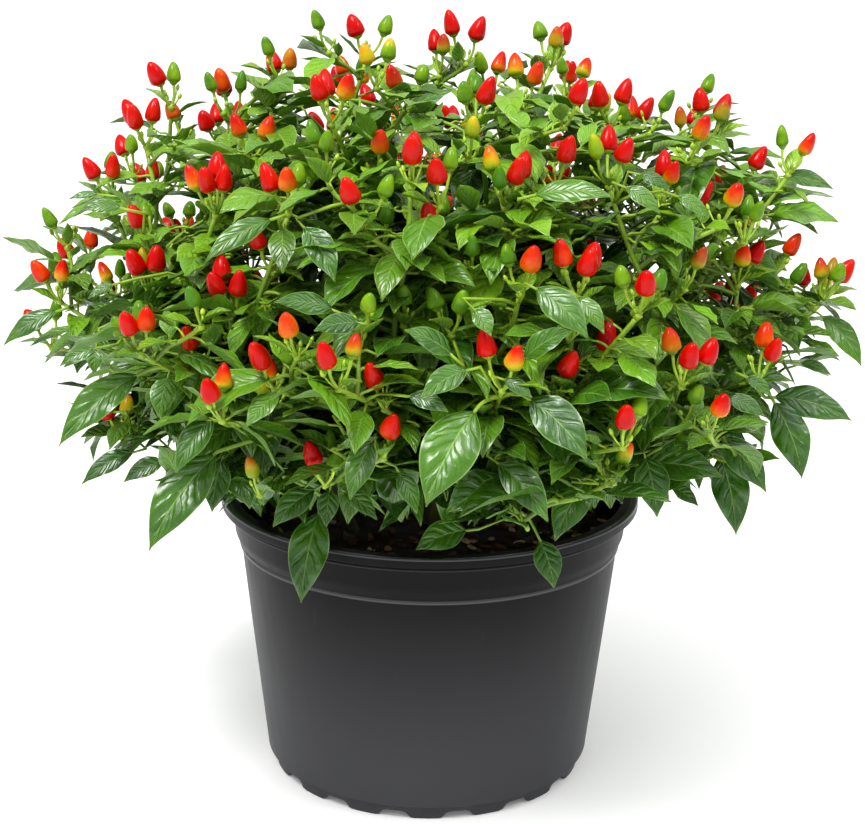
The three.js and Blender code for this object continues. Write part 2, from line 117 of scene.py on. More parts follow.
FRUIT_LENGTH = 14
FRUIT_RADIUS = 4.8
PEDICEL_LENGTH = 14.5
HEAD_ROOM = 9
LEAF_WIDTH = 0.25
PETIOLE_RADIUS = 0.8
print("crown, mm:", 2 * CROWN_REACH, "across, with its middle at", CROWN_HEIGHT)

# %% [markdown]
# ## The camera
# The photograph looks slightly down at the plant from about a metre away, with a long lens. A
# camera could be aimed by eye, but the pot fixes it better. How far its rim and foot open into
# ovals gives the tilt and the distance, and the slope of its axis shows that the picture is
# turned by less than a degree. The same numbers are used again below to read pixels.

# %% Camera
EYE = np.array([1.0, -1000.0, 494.0])
EYE_TILT = math.radians(15.46)
EYE_ROLL = math.radians(0.7)
FOCAL_PIXELS = 1740
PICTURE_WIDTH, PICTURE_HEIGHT = 865, 824
SENSOR_WIDTH = 36
FARTHEST_SEEN = 20

camera_data = bpy.data.cameras.new("camera")
camera_data.sensor_width = SENSOR_WIDTH
camera_data.lens = FOCAL_PIXELS * SENSOR_WIDTH / PICTURE_WIDTH
camera_data.clip_end = FARTHEST_SEEN
camera = bpy.data.objects.new("camera", camera_data)
bpy.context.scene.collection.objects.link(camera)
camera.rotation_mode = "QUATERNION"
camera.rotation_quaternion = (
    Matrix.Rotation(math.pi / 2 - EYE_TILT, 3, "X") @ Matrix.Rotation(EYE_ROLL, 3, "Z")
).to_quaternion()
camera.location = EYE * MM
bpy.context.scene.camera = camera
bpy.context.scene.view_settings.view_transform = "Standard"
print("lens", round(camera_data.lens, 1), "mm")

# %% [markdown]
# A leaf or a fruit that the photograph shows is named below by its pixel. One picture gives no
# depth, so each could be set by hand. Here the crown is taken as a round cushion instead, and
# the line of sight through the pixel meets it at the place's depth.

# %% Sight lines
DEPTHS = np.arange(700, 1200, 2)


def sight(pixel_x, pixel_y):
    """The line of sight through a pixel, for each millimetre of depth."""
    across = (pixel_x - PICTURE_WIDTH / 2) / FOCAL_PIXELS
    above = (PICTURE_HEIGHT / 2 - pixel_y) / FOCAL_PIXELS
    right = across * math.cos(EYE_ROLL) - above * math.sin(EYE_ROLL)
    up = across * math.sin(EYE_ROLL) + above * math.cos(EYE_ROLL)
    sin, cos = math.sin(EYE_TILT), math.cos(EYE_TILT)
    return np.array([right, cos + up * sin, up * cos - sin])


def crown_depth(pixel_x, pixel_y, scale):
    """The depth where a line of sight first meets the crown, or passes nearest to it."""
    points = EYE + DEPTHS[:, None] * sight(pixel_x, pixel_y)
    rise = points[:, 2] - CROWN_HEIGHT
    half = np.where(rise > 0, CROWN_RISE, CROWN_FALL)
    off = np.sqrt(np.sum((points[:, :2] / CROWN_REACH) ** 2, axis=1) + (rise / half) ** 2) / scale
    inside = np.flatnonzero(off <= 1)
    return DEPTHS[inside[0]] if len(inside) else DEPTHS[np.argmin(off)]


def seen_point(pixel_x, pixel_y, depth):
    return EYE + depth * sight(pixel_x, pixel_y)


def pixels(points):
    """The pixels at which points are seen, and their depths: the reverse of a sight line."""
    x, y, z = (points - EYE).T
    sin, cos = math.sin(EYE_TILT), math.cos(EYE_TILT)
    depth = y * cos - z * sin
    right, up = FOCAL_PIXELS * x / depth, FOCAL_PIXELS * (y * sin + z * cos) / depth
    return (PICTURE_WIDTH / 2 + right * math.cos(EYE_ROLL) + up * math.sin(EYE_ROLL),
            PICTURE_HEIGHT / 2 + right * math.sin(EYE_ROLL) - up * math.cos(EYE_ROLL), depth)


print("crown depth at two pixels, mm:", crown_depth(432, 412, 1), crown_depth(120, 400, 1))

# %% [markdown]
# ## Draws
# No two leaves of a real plant are alike. Numbers from a seeded generator would do, but each
# would depend on how many were drawn before it. So each draw here depends only on its keys, and
# the same twig always bends the same way, whatever else changes.

# %% Draws
def chance(*keys):
    """A draw from 0 to 1 that depends only on its keys."""
    state = 17
    for key in (*keys, 5):
        state = ((state ^ key) * 2654435761) & 0xFFFFFFFF
        state ^= state >> 15
    return state / 4294967296


def between(low, high, *keys):
    return low + (high - low) * chance(*keys)


def place(out, bearing, height):
    """A point by its distance from the pot's axis, its bearing and its height."""
    return np.array([out * math.cos(bearing), out * math.sin(bearing), height])


def wrap(angle):
    return (angle + math.pi) % (2 * math.pi) - math.pi


def unit(vector):
    return vector / np.linalg.norm(vector)


print("three draws:", [round(chance(1, key), 3) for key in range(3)])

# %% [markdown]
# ## Meshes from rings
# Stems, stalks, fruit and leaf blades are all long things with closed skins. They could be
# curves with a bevel, or copies of a few models, but here each one differs. So all are made in
# the same way: a list of rings of points, joined into a closed skin.

# %% Skins
def skin_faces(rows, sides):
    """The triangles of a closed skin over rows of points, with both ends closed."""
    k = np.arange(sides)
    faces = []
    for i in range(rows - 1):
        a, b = i * sides + k, i * sides + (k + 1) % sides
        c, d = b + sides, a + sides
        faces += [np.stack([a, b, c], 1), np.stack([a, c, d], 1)]
    fan = np.arange(1, sides - 1)
    last = (rows - 1) * sides
    faces.append(np.stack([np.zeros_like(fan), fan + 1, fan], 1))
    faces.append(np.stack([last + np.zeros_like(fan), last + fan, last + fan + 1], 1))
    return np.concatenate(faces)


print("triangles in a skin over 8 rings of 6 points:", len(skin_faces(8, 6)))


# %% [markdown]
# Thousands of leaves as objects of their own would be slow. A heap gathers many skins, with
# values for the material at each point, and becomes one object. That object is then dressed: it
# gets its material and what it rides on, and the CAD nodes that it stands for are hidden.

# %% Heaps
class Heap:
    """Gathers skins with values at their points, and makes one object of them."""

    def __init__(self, *values):
        self.names = values
        self.points, self.faces, self.values, self.size = [], [], [], 0

    def add(self, rings, **values):
        rows, sides = rings.shape[:2]
        self.faces.append(skin_faces(rows, sides) + self.size)
        self.points.append(rings.reshape(-1, 3))
        self.size += rows * sides
        table = [np.broadcast_to(values.get(name, 0.0), (rows, sides)) for name in self.names]
        self.values.append(np.array(table).reshape(len(self.names), rows * sides).T)

    def mesh(self, name):
        mesh = bpy.data.meshes.new(name)
        mesh.from_pydata(np.concatenate(self.points) * MM, [], np.concatenate(self.faces))
        values = np.concatenate(self.values)
        for i, value in enumerate(self.names):
            layer = mesh.attributes.new(value, "FLOAT", "POINT")
            layer.data.foreach_set("value", values[:, i].astype(np.float32))
        mesh.shade_smooth()
        return mesh

    def make(self, name, material, slot, *nodes):
        piece = bpy.data.objects.new(name, self.mesh(name))
        bpy.context.scene.collection.objects.link(piece)
        return dress(piece, material, slot, *nodes)


def dress(piece, material, slot, *nodes):
    """Gives a piece its material, hangs it on the root, and hides the CAD nodes that it stands for."""
    piece.data.materials.clear()
    piece.data.materials.append(material)
    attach(piece, "root")
    if nodes:
        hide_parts(*nodes)
    return piece


print("values kept for each point of a fruit:", Heap("ripe", "dark").names)


# %% [markdown]
# A tube follows a list of points. Its rings are carried along without twisting, because rings
# that were each turned afresh would wring a curved twig.

# %% Tubes
def tube(points, radii, sides):
    """Rings along a path, with a radius at each point."""
    points = np.asarray(points, float)
    along = np.gradient(points, axis=0)
    along /= np.linalg.norm(along, axis=1)[:, None]
    across = unit(np.cross(along[0], [0.6, 0.8, 0.03]))
    turns = 2 * np.pi * np.arange(sides) / sides
    rings = []
    for point, way, radius in zip(points, along, radii):
        across = unit(across - way * (across @ way))
        ring = np.cos(turns)[:, None] * across + np.sin(turns)[:, None] * np.cross(way, across)
        rings.append(point + radius * ring)
    return np.array(rings)


def smooth_path(points, count):
    """A smooth curve through a few points, as count points."""
    points = np.asarray(points, float)
    ends = np.concatenate([[2 * points[0] - points[1]], points, [2 * points[-1] - points[-2]]])
    at = np.linspace(0, len(points) - 1, count)
    i = np.minimum(at.astype(int), len(points) - 2)
    t = (at - i)[:, None]
    a, b, c, d = ends[i], ends[i + 1], ends[i + 2], ends[i + 3]
    return 0.5 * (2 * b + (c - a) * t + (2 * a - 5 * b + 4 * c - d) * t**2
                  + (3 * b - a - 3 * c + d) * t**3)


def points_along(points, count):
    """Evenly spaced points on a chain of straight pieces."""
    points = np.asarray(points, float)
    run = np.concatenate([[0], np.cumsum(np.linalg.norm(np.diff(points, axis=0), axis=1))])
    at = np.linspace(0, run[-1], count + 1)
    return np.stack([np.interp(at, run, points[:, k]) for k in range(3)], 1)


print("a bent twig, mm:", smooth_path([(0, 0, 0), (0, 4, 9), (0, 12, 15)], 3).round(1).tolist())


# %% [markdown]
# ## Materials
# The real colours vary over every leaf and fruit. A painted picture could show that, but it
# would need to be wrapped round each piece. Nodes work it out at each point instead, from noise
# and from the values that the heaps keep. A small helper keeps the node code short to read.

# %% A helper for node materials
class Shader:
    """A material on one Principled surface, built from values and nodes."""

    def __init__(self, name):
        self.material = bpy.data.materials.new(name)
        self.material.use_nodes = True
        self.tree = self.material.node_tree
        self.surface = self.tree.nodes["Principled BSDF"]

    def put(self, socket, value):
        if isinstance(value, bpy.types.NodeSocket):
            self.tree.links.new(value, socket)
        elif isinstance(value, tuple) and len(value) == 3 and socket.type == "RGBA":
            socket.default_value = (*value, 1)
        else:
            socket.default_value = value

    def set(self, **inputs):
        for name, value in inputs.items():
            self.put(self.surface.inputs[name.replace("_", " ")], value)

    def node(self, kind, *inputs, out=0, **settings):
        made = self.tree.nodes.new(f"ShaderNode{kind}")
        for name, value in settings.items():
            setattr(made, name, value)
        for i, value in enumerate(inputs):
            if value is not None:
                self.put(made.inputs[i], value)
        return made.outputs[out]

    def value(self, name):
        return self.node("Attribute", attribute_name=name, out=2)

    def math(self, operation, *inputs):
        return self.node("Math", *inputs, operation=operation)

    def ramp(self, value, low, high, at_low=0.0, at_high=1.0):
        """Goes smoothly from at_low to at_high while the value goes from low to high."""
        return self.node("MapRange", value, low, high, at_low, at_high,
                         interpolation_type="SMOOTHSTEP")

    def mix(self, share, first, second):
        made = self.tree.nodes.new("ShaderNodeMix")
        made.data_type = "RGBA"
        self.put(made.inputs[0], share)
        self.put(made.inputs[6], first)
        self.put(made.inputs[7], second)
        return made.outputs[2]

    def colours(self, value, *stops):
        made = self.tree.nodes.new("ShaderNodeValToRGB")
        elements = made.color_ramp.elements
        while len(elements) < len(stops):
            elements.new(1)
        for element, (position, colour) in zip(elements, stops):
            element.position = position
            element.color = (*colour, 1)
        self.put(made.inputs[0], value)
        return made.outputs[0]

    def place(self):
        return self.node("TexCoord", out=3)

    def noise(self, scale, detail=3.0, roughness=0.5, where=None):
        made = self.tree.nodes.new("ShaderNodeTexNoise")
        self.put(made.inputs["Vector"], where or self.place())
        made.inputs["Scale"].default_value = scale
        made.inputs["Detail"].default_value = detail
        made.inputs["Roughness"].default_value = roughness
        return made.outputs[0]

    def bump(self, height, distance, strength=1.0, after=None):
        made = self.tree.nodes.new("ShaderNodeBump")
        made.inputs["Strength"].default_value = strength
        made.inputs["Distance"].default_value = distance
        self.put(made.inputs["Height"], height)
        if after is not None:
            self.put(made.inputs["Normal"], after)
        return made.outputs[0]


print("node helpers:", [name for name in vars(Shader) if not name.startswith("_")])

# %% [markdown]
# ### Leaf
# A real blade is a glossy mid to dark green above, quilted between its side veins, which run
# from the midrib forward to the margin. Midrib and margin are pale, the underside is paler and
# duller, and young leaves near the fruit are lighter. Veins could be painted, but each leaf has
# another size. So they are worked out from two values kept at each point: how far along the
# blade it lies, and how far across.

# %% Leaf material
SIDE_VEINS = 5.2
VEIN_SLANT = 1.5


def leaf_material():
    s = Shader("leaf")
    along, across = s.value("along"), s.value("across")
    side = s.math("ABSOLUTE", across)
    lead = s.math("MULTIPLY", s.math("POWER", side, 0.85), VEIN_SLANT)
    patches = s.noise(60, 2.0)
    grain = s.noise(420, 3.0, 0.6)
    count = s.math("SUBTRACT", s.math("MULTIPLY", along, SIDE_VEINS), lead)
    count = s.math("ADD", count, s.ramp(s.noise(130, 1.0), 0.3, 0.7, -0.10, 0.10))
    wave = s.math("COSINE", s.math("MULTIPLY", count, 2 * math.pi))
    vein = s.math("MULTIPLY", s.ramp(wave, 0.90, 1.0), s.ramp(side, 0.4, 0.95, 1.0, 0.0))
    midrib = s.ramp(side, 0.012, 0.050, 1.0, 0.0)
    trough = s.ramp(side, 0.02, 0.14, 1.0, 0.0)
    margin = s.ramp(side, 0.93, 1.0)

    mature = s.mix(s.value("tone"), (0.014, 0.065, 0.003), (0.131, 0.307, 0.006))
    colour = s.mix(s.math("MULTIPLY", s.value("young"), 0.75), mature, (0.26, 0.44, 0.012))
    colour = s.mix(s.ramp(patches, 0.35, 0.75, 0.0, 0.25), colour, (0.10, 0.27, 0.006))
    colour = s.mix(s.math("MULTIPLY", vein, 0.16), colour, (0.20, 0.36, 0.06))
    colour = s.mix(s.math("MULTIPLY", midrib, 0.5), colour, (0.24, 0.42, 0.07))
    colour = s.mix(s.math("MULTIPLY", margin, 0.45), colour, (0.34, 0.50, 0.14))
    colour = s.mix(s.ramp(along, 0.84, 1.0, 0.0, 0.35), colour, (0.20, 0.36, 0.03))
    below = s.mix(s.math("MULTIPLY", midrib, 0.8), (0.10, 0.22, 0.022), (0.28, 0.42, 0.10))
    colour = s.mix(s.value("under"), colour, below)

    bulge = s.math("MULTIPLY", s.ramp(wave, 1.0, -0.4), s.ramp(side, 1.0, 0.6))
    quilt = s.math("SUBTRACT", bulge, s.math("MULTIPLY", midrib, 0.35))
    height = s.math("ADD", quilt, s.math("MULTIPLY", grain, 0.25))
    matt = s.math("MAXIMUM", s.value("under"), trough)
    s.set(
        Base_Color=colour,
        Roughness=s.math("ADD", s.ramp(grain, 0.3, 0.7, 0.22, 0.32), s.math("MULTIPLY", matt, 0.2)),
        Specular_IOR_Level=0.5,
        Normal=s.bump(height, 0.00045, 0.9),
    )
    return s.material


leaf_look = leaf_material()
print("leaf nodes:", len(leaf_look.node_tree.nodes))


# %% [markdown]
# ### Wood
# The real stems are woody and brownish near the soil and green above, and petioles, pedicels
# and calyxes are a fresh light green. Three materials would meet in hard steps, so there is
# one, and the value `fresh` says how young a piece of stem is.

# %% Wood material
def wood_material():
    s = Shader("green_wood")
    streaks = s.noise(220, 4.0, 0.6)
    colour = s.colours(
        s.value("fresh"),
        (0.0, (0.055, 0.042, 0.018)), (0.3, (0.065, 0.09, 0.012)),
        (0.65, (0.15, 0.27, 0.014)), (1.0, (0.34, 0.50, 0.030)),
    )
    colour = s.mix(s.ramp(streaks, 0.35, 0.7, 0.0, 0.35), colour, (0.05, 0.09, 0.02))
    s.set(
        Base_Color=colour,
        Roughness=s.ramp(streaks, 0.3, 0.7, 0.34, 0.5),
        Specular_IOR_Level=0.35,
        Subsurface_Weight=0.05,
        Subsurface_Radius=(0.3, 0.6, 0.1),
        Subsurface_Scale=0.002,
        Normal=s.bump(streaks, 0.0004, 0.5),
    )
    return s.material


wood_look = wood_material()
print("wood nodes:", len(wood_look.node_tree.nodes))


# %% [markdown]
# ### Fruit
# A real fruit is waxy and shines like lacquer, so a thin clear coat lies over its colour. That
# could be one plain colour for each fruit, but the two ends of a fruit ripen at their own time.
# So `ripe` is kept at each point, and goes from green (0) through yellow and orange to red (1).
# A few fruit turn dark, nearly black-red, on the way.

# %% Fruit material
def fruit_material():
    s = Shader("fruit_skin")
    mottle = s.noise(150, 2.0)
    ripe = s.math("ADD", s.value("ripe"), s.ramp(mottle, 0.3, 0.7, -0.07, 0.07))
    colour = s.colours(
        ripe,
        (0.0, (0.050, 0.15, 0.005)), (0.20, (0.17, 0.30, 0.006)), (0.36, (0.45, 0.34, 0.006)),
        (0.50, (0.55, 0.13, 0.002)), (0.64, (0.54, 0.040, 0.001)), (0.80, (0.48, 0.007, 0.0006)),
        (1.0, (0.41, 0.0005, 0.0005)),
    )
    colour = s.mix(s.math("MULTIPLY", s.value("dark"), 0.8), colour, (0.11, 0.030, 0.008))
    s.set(
        Base_Color=colour,
        Roughness=s.ramp(mottle, 0.3, 0.7, 0.16, 0.24),
        Specular_IOR_Level=0.06,
        Coat_Weight=0.18,
        Coat_Roughness=0.08,
        Normal=s.bump(s.noise(320, 2.0), 0.0003, 0.25),
    )
    return s.material


fruit_look = fruit_material()
print("fruit nodes:", len(fruit_look.node_tree.nodes))

# %% [markdown]
# ## The pot
# The real pot is moulded in one piece of thin plastic. From the foot up it has a notched foot
# ring, a tapered body with a ridge above it, a collar, and a rolled rim with a small ridge
# below. Stacked rings and cones would show seams, so one outline is turned about the axis.

# %% Outside of the pot
def arc(centre_out, centre_up, radius, start, end, parts):
    """Points on an arc of the outline, between two angles in degrees."""
    turns = np.radians(np.linspace(start, end, parts + 1))
    return [(centre_out + radius * math.cos(a), centre_up + radius * math.sin(a)) for a in turns]


step = POT_HEIGHT - COLLAR_HEIGHT
ledge = step - CHAMFER_HEIGHT
lip = POT_HEIGHT - LIP_HEIGHT
body_radius = COLLAR_RADIUS - COLLAR_STEP
foot_inside = FOOT_RADIUS - FOOT_WIDTH
BASE_HEIGHT = 5.5
outside = [(out, BASE_HEIGHT) for out in (0, 30, 60, 85, foot_inside - 0.6)]
outside += [
    (foot_inside, 4.9), (foot_inside, 2.5), (foot_inside + 0.2, 0.5),
    (foot_inside + 0.7, 0), (FOOT_RADIUS - 0.7, 0), (FOOT_RADIUS - 0.1, 0.5),
    (FOOT_RADIUS + 0.2, 2.5), (FOOT_RADIUS + 0.5, 5), (FOOT_RADIUS + 1, FOOT_HEIGHT - 1.6),
    (FOOT_RADIUS + 1.9, FOOT_HEIGHT - 0.9), (BASE_RADIUS - 1.2, FOOT_HEIGHT - 0.5),
    (BASE_RADIUS - 0.1, FOOT_HEIGHT + 0.3),
]
outside += [
    (BASE_RADIUS + (body_radius - BASE_RADIUS) * t,
     FOOT_HEIGHT + 1.6 + (ledge - 3 - FOOT_HEIGHT) * t)
    for t in np.linspace(0, 1, 12)
]
outside += [(body_radius + out, ledge + up) for out, up in (
    (0.3, -2.0), (0.9, -1.5), (1.2, -0.7), (1.1, 0.1), (0.7, 0.6), (0.9, 1.2), (2.0, 3.6),
)]
outside += [(COLLAR_RADIUS + out, step + up) for out, up in (
    (-1.5, -1.2), (-1.0, 0.2), (-0.75, 2.2), (-0.3, 9),
)]
outside += [(COLLAR_RADIUS, lip - 4.4), (COLLAR_RADIUS + 0.8, lip - 3.7)]
outside += arc(COLLAR_RADIUS + 3.0, lip - 2.4, 0.9, -110, 70, 6)
outside += [(COLLAR_RADIUS + 3.2, lip - 1.2), (COLLAR_RADIUS + 4.2, lip - 0.5)]
outside += [(RIM_RADIUS - 0.9, lip)]
outside += arc(RIM_RADIUS - 0.7, lip + 0.7, 0.7, -80, 0, 4)
outside += arc(RIM_RADIUS - 0.9, POT_HEIGHT - 0.9, 0.9, 0, 90, 6)
outside += [(RIM_RADIUS - 2.4, POT_HEIGHT - 0.4), (RIM_RADIUS - 4.6, POT_HEIGHT - 0.7)]
print("outside of the pot:", len(outside), "points")

# %% Inside of the pot
collar_inside = COLLAR_RADIUS - WALL
inside = arc(collar_inside + 1.3, POT_HEIGHT - 1.8, 1.3, 90, 180, 5)
inside += [
    (collar_inside, lip - 0.5), (collar_inside - 0.5, step + 3),
    (collar_inside - COLLAR_TAPER, step - 1), (body_radius - WALL, ledge - 1),
    (body_radius - WALL - 0.4, ledge - 8), (BASE_RADIUS - WALL + 0.6, FLOOR_TOP + 3),
    (BASE_RADIUS - WALL - 2, FLOOR_TOP), (60, FLOOR_TOP), (0, FLOOR_TOP),
]
outline = np.array(outside + inside)
print("whole outline:", len(outline), "points")

# %% [markdown]
# The real foot ring's lower edge is a row of rounded lobes with notches between them. They
# could be cut out, but a cut leaves untidy faces. So the turned surface itself rises: the wave
# below gives the rise at each bearing, and lower points rise by more of it.

# %% Turning and notches
POT_SIDES = NOTCHES * 16
LOBE_SHARE, FLANK_SHARE = 0.56, 0.26


def notch_rise(bearing):
    """How far the foot ring's edge rises at a bearing: 0 on a lobe, full in a notch."""
    beat = (bearing + math.pi / 2) * NOTCHES / (2 * math.pi)
    off = np.abs(beat - np.floor(beat) - 0.5) * 2
    flank = np.clip((LOBE_SHARE - off) / FLANK_SHARE, 0, 1)
    return NOTCH_HEIGHT * flank**2 * (3 - 2 * flank)


def turned(points, sides):
    """Rows of points turned about the axis, from an outline of distances out and heights."""
    bearings = 2 * np.pi * np.arange(sides) / sides
    out, up = points[:, :1], points[:, 1:]
    rows = np.stack([out * np.cos(bearings), out * np.sin(bearings), up + 0 * bearings], 2)
    return rows, bearings


print("rise in the middle of a notch, mm:", notch_rise(math.pi / NOTCHES - math.pi / 2))


# %% [markdown]
# The real plastic is dark charcoal with a faint satin grain. Light and shade are painted into its
# colour by height: the body is painted lighter lower down, as light from the floor, the collar
# under the rim and the inner wall are painted nearly black as shade, and the rim's crest and
# ridges are painted pale as highlights. Lights alone would need to be set just so.

# %% Pot material
def pot_material():
    s = Shader("charcoal_plastic")
    cloud = s.noise(14, 3.0)
    grain = s.noise(1600, 2.0)
    stretched = s.node("Mapping", s.place(), None, None, (1.0, 1.0, 0.12))
    scuffs = s.noise(120, 4.0, 0.7, where=stretched)
    up = s.node("SeparateXYZ", s.place(), out=2)
    level = s.node("Mapping", s.place(), None, None, (1.0, 1.0, 0.0))
    out = s.node("VectorMath", level, operation="LENGTH", out=1)
    low = s.ramp(up, 0.0, (ledge - 2) * MM, 1.0, 0.0)
    collar = s.ramp(up, (ledge + 0.6) * MM, (ledge + 1.6) * MM)
    bead = s.math("MULTIPLY", s.ramp(up, (ledge - 1.4) * MM, (ledge - 0.8) * MM),
                  s.ramp(up, (ledge + 0.5) * MM, (ledge + 1.0) * MM, 1.0, 0.0))
    crest = s.math("MULTIPLY", s.ramp(up, (POT_HEIGHT - 1.4) * MM, (POT_HEIGHT - 0.9) * MM),
                   s.ramp(out, (RIM_RADIUS - 4.4) * MM, (RIM_RADIUS - 3.2) * MM))
    inner = s.math("MULTIPLY", s.ramp(up, (step + 1) * MM, (step + 2) * MM),
                   s.ramp(out, (collar_inside + 1.5) * MM, (collar_inside + 2.1) * MM, 1.0, 0.0))
    second = s.math("MULTIPLY", s.ramp(up, (lip - 3.1) * MM, (lip - 2.7) * MM),
                    s.ramp(up, (lip - 1.7) * MM, (lip - 1.4) * MM, 1.0, 0.0))
    edges = s.math("MAXIMUM", crest, bead)
    painted_edge_highlight = s.math("MAXIMUM", edges, s.math("MULTIPLY", second, 0.25))
    colour = s.mix(s.ramp(cloud, 0.3, 0.7), (0.0023, 0.0023, 0.0026), (0.0043, 0.0043, 0.0049))
    # Painted light: the body's colour is painted lighter towards the bottom, as light from the floor.
    colour = s.mix(s.math("POWER", low, 0.6), colour, (0.041, 0.041, 0.0445))
    colour = s.mix(s.ramp(scuffs, 0.64, 0.8, 0.0, 0.2), colour, (0.07, 0.07, 0.075))
    # Painted shade: the collar under the rim and the inside of the wall are painted nearly black.
    colour = s.mix(s.math("MAXIMUM", collar, inner), colour, (0.002, 0.002, 0.0024))
    # Painted highlights: the crest, the bead and the small ridge below the lip are painted pale.
    colour = s.mix(painted_edge_highlight, colour, (0.07, 0.07, 0.075))
    height = s.math("ADD", grain, s.math("MULTIPLY", scuffs, 0.4))
    s.set(
        Base_Color=colour,
        Roughness=s.math("MULTIPLY_ADD", edges, -0.2, s.ramp(scuffs, 0.3, 0.75, 0.42, 0.48)),
        Specular_IOR_Level=0.10,
        Normal=s.bump(height, 0.00006, 0.5),
    )
    return s.material


pot_look = pot_material()
print("plastic nodes:", len(pot_look.node_tree.nodes))

# %% Pot mesh
NOTCH_FADE = 5.2
rows, bearings = turned(outline, POT_SIDES)
on_foot = outline[:, :1] > foot_inside - 0.3
share = np.clip((NOTCH_FADE - outline[:, 1:]) / NOTCH_FADE, 0, 1) * on_foot
rows[:, :, 2] += notch_rise(bearings)[None, :] * share
pot_heap = Heap()
pot_heap.add(rows[1:-1])
pot = pot_heap.make("pot_shell", pot_look, "pot", "pot")
print("pot has", len(pot.data.polygons), "faces")

# %% [markdown]
# The real pot's floor has drain holes. A turned outline can't have holes beside its axis, so
# four plain cylinders are cut out of it, and then taken away. After that, edges with a sharp
# angle are marked, so that the smooth shading stops at them.

# %% Drain holes
SHARP_ANGLE = math.radians(38)
hole_heap = Heap()
for i in range(DRAIN_HOLES):
    middle = place(DRAIN_OUT, 2 * math.pi * i / DRAIN_HOLES, 0)
    hole_heap.add(tube([middle + [0, 0, 1], middle + [0, 0, 14]], [DRAIN_RADIUS] * 2, 40))
cutter = bpy.data.objects.new("holes", hole_heap.mesh("holes"))
bpy.context.scene.collection.objects.link(cutter)
cut = pot.modifiers.new("drain_holes", "BOOLEAN")
cut.object = cutter
cut.solver = "EXACT"
bpy.context.view_layer.objects.active = pot
bpy.ops.object.modifier_apply(modifier=cut.name)
bpy.data.objects.remove(cutter)
pot.data.set_sharp_from_angle(angle=SHARP_ANGLE)
print("pot with", DRAIN_HOLES, "drain holes has", len(pot.data.polygons), "faces")

# %% [markdown]
# ## The soil
# Real compost is dark and crumbly. Its surface could be a pile of grains, but from here only
# its humps and its colour show. So it is one closed body that fills the pot, with a humped top
# that sinks a little towards the wall.

# %% Soil material
def soil_material():
    s = Shader("compost")
    crumbs = s.noise(330, 6.0, 0.75)
    patches = s.noise(38, 3.0)
    colour = s.mix(s.ramp(crumbs, 0.35, 0.7), (0.009, 0.005, 0.003), (0.045, 0.022, 0.012))
    colour = s.mix(s.ramp(patches, 0.5, 0.75, 0.0, 0.4), colour, (0.06, 0.03, 0.016))
    s.set(
        Base_Color=colour,
        Roughness=s.ramp(crumbs, 0.3, 0.7, 0.75, 0.95),
        Specular_IOR_Level=0.3,
        Normal=s.bump(crumbs, 0.002, 1.0),
    )
    return s.material


compost_look = soil_material()
print("compost nodes:", len(compost_look.node_tree.nodes))


# %% Soil mesh
SOIL_SIDES = 180


def soil_top(out, bearing):
    """The height of the soil's surface."""
    x, y = out * np.cos(bearing), out * np.sin(bearing)
    humps = 0.9 * np.sin(x / 13 + 1.3 * np.sin(y / 17)) * np.cos(y / 15 + 0.8)
    humps = humps + 0.5 * np.sin(x / 5.1) * np.sin(y / 4.3)
    edge = np.clip((out - 70) / (SOIL_RADIUS - 70), 0, 1)
    return SOIL_HEIGHT - 1.6 + 0.9 * humps - 1.4 * edge**2


top_out = np.concatenate([[1], np.linspace(5, SOIL_RADIUS - 0.4, 42)])
bearings = 2 * np.pi * np.arange(SOIL_SIDES) / SOIL_SIDES
grid_out, grid_bearing = np.meshgrid(top_out, bearings, indexing="ij")
top = np.stack([
    grid_out * np.cos(grid_bearing), grid_out * np.sin(grid_bearing),
    soil_top(grid_out, grid_bearing),
], 2)
wall, _ = turned(np.array([
    (SOIL_RADIUS, step - 3), (SOIL_RADIUS + COLLAR_TAPER - COLLAR_STEP, ledge - 1),
    (BASE_RADIUS - WALL - 0.7, FLOOR_TOP + 0.3), (20, FLOOR_TOP + 0.3),
]), SOIL_SIDES)
soil_heap = Heap()
soil_heap.add(np.concatenate([top, wall])[::-1])
soil = soil_heap.make("compost", compost_look, "soil", "soil")
print("soil has", len(soil.data.polygons), "faces")

# %% [markdown]
# Wood chips lie in the real compost, some orange-brown and some pale, with crumbs between them.
# A bump would not catch the light as they do, so each is a small skin of its own: a chip is a
# flat splinter with uneven ends, lying at a slight tilt, and a crumb is a small rough lump.

# %% Chip material
def chip_material():
    s = Shader("wood_chips")
    fibres = s.noise(700, 4.0, 0.7)
    colour = s.colours(
        s.value("tone"),
        (0.0, (0.030, 0.014, 0.007)), (0.45, (0.085, 0.032, 0.012)),
        (0.78, (0.30, 0.12, 0.045)), (0.9, (0.72, 0.42, 0.24)), (1.0, (0.88, 0.68, 0.48)),
    )
    colour = s.mix(s.ramp(fibres, 0.4, 0.75, 0.0, 0.45), colour, (0.05, 0.022, 0.010))
    s.set(Base_Color=colour, Roughness=0.85, Normal=s.bump(fibres, 0.0006, 0.9))
    return s.material


chip_look = chip_material()
print("chip nodes:", len(chip_look.node_tree.nodes))


# %% Chips and crumbs
CHIPS, CRUMBS = 460, 380
LUMP_SIDES = 5


def soil_spot(*keys):
    """A place on the soil, by two draws, at its surface."""
    out = (SOIL_RADIUS - 5) * math.sqrt(chance(*keys, 1))
    bearing = 2 * math.pi * chance(*keys, 2)
    return place(out, bearing, soil_top(out, bearing))


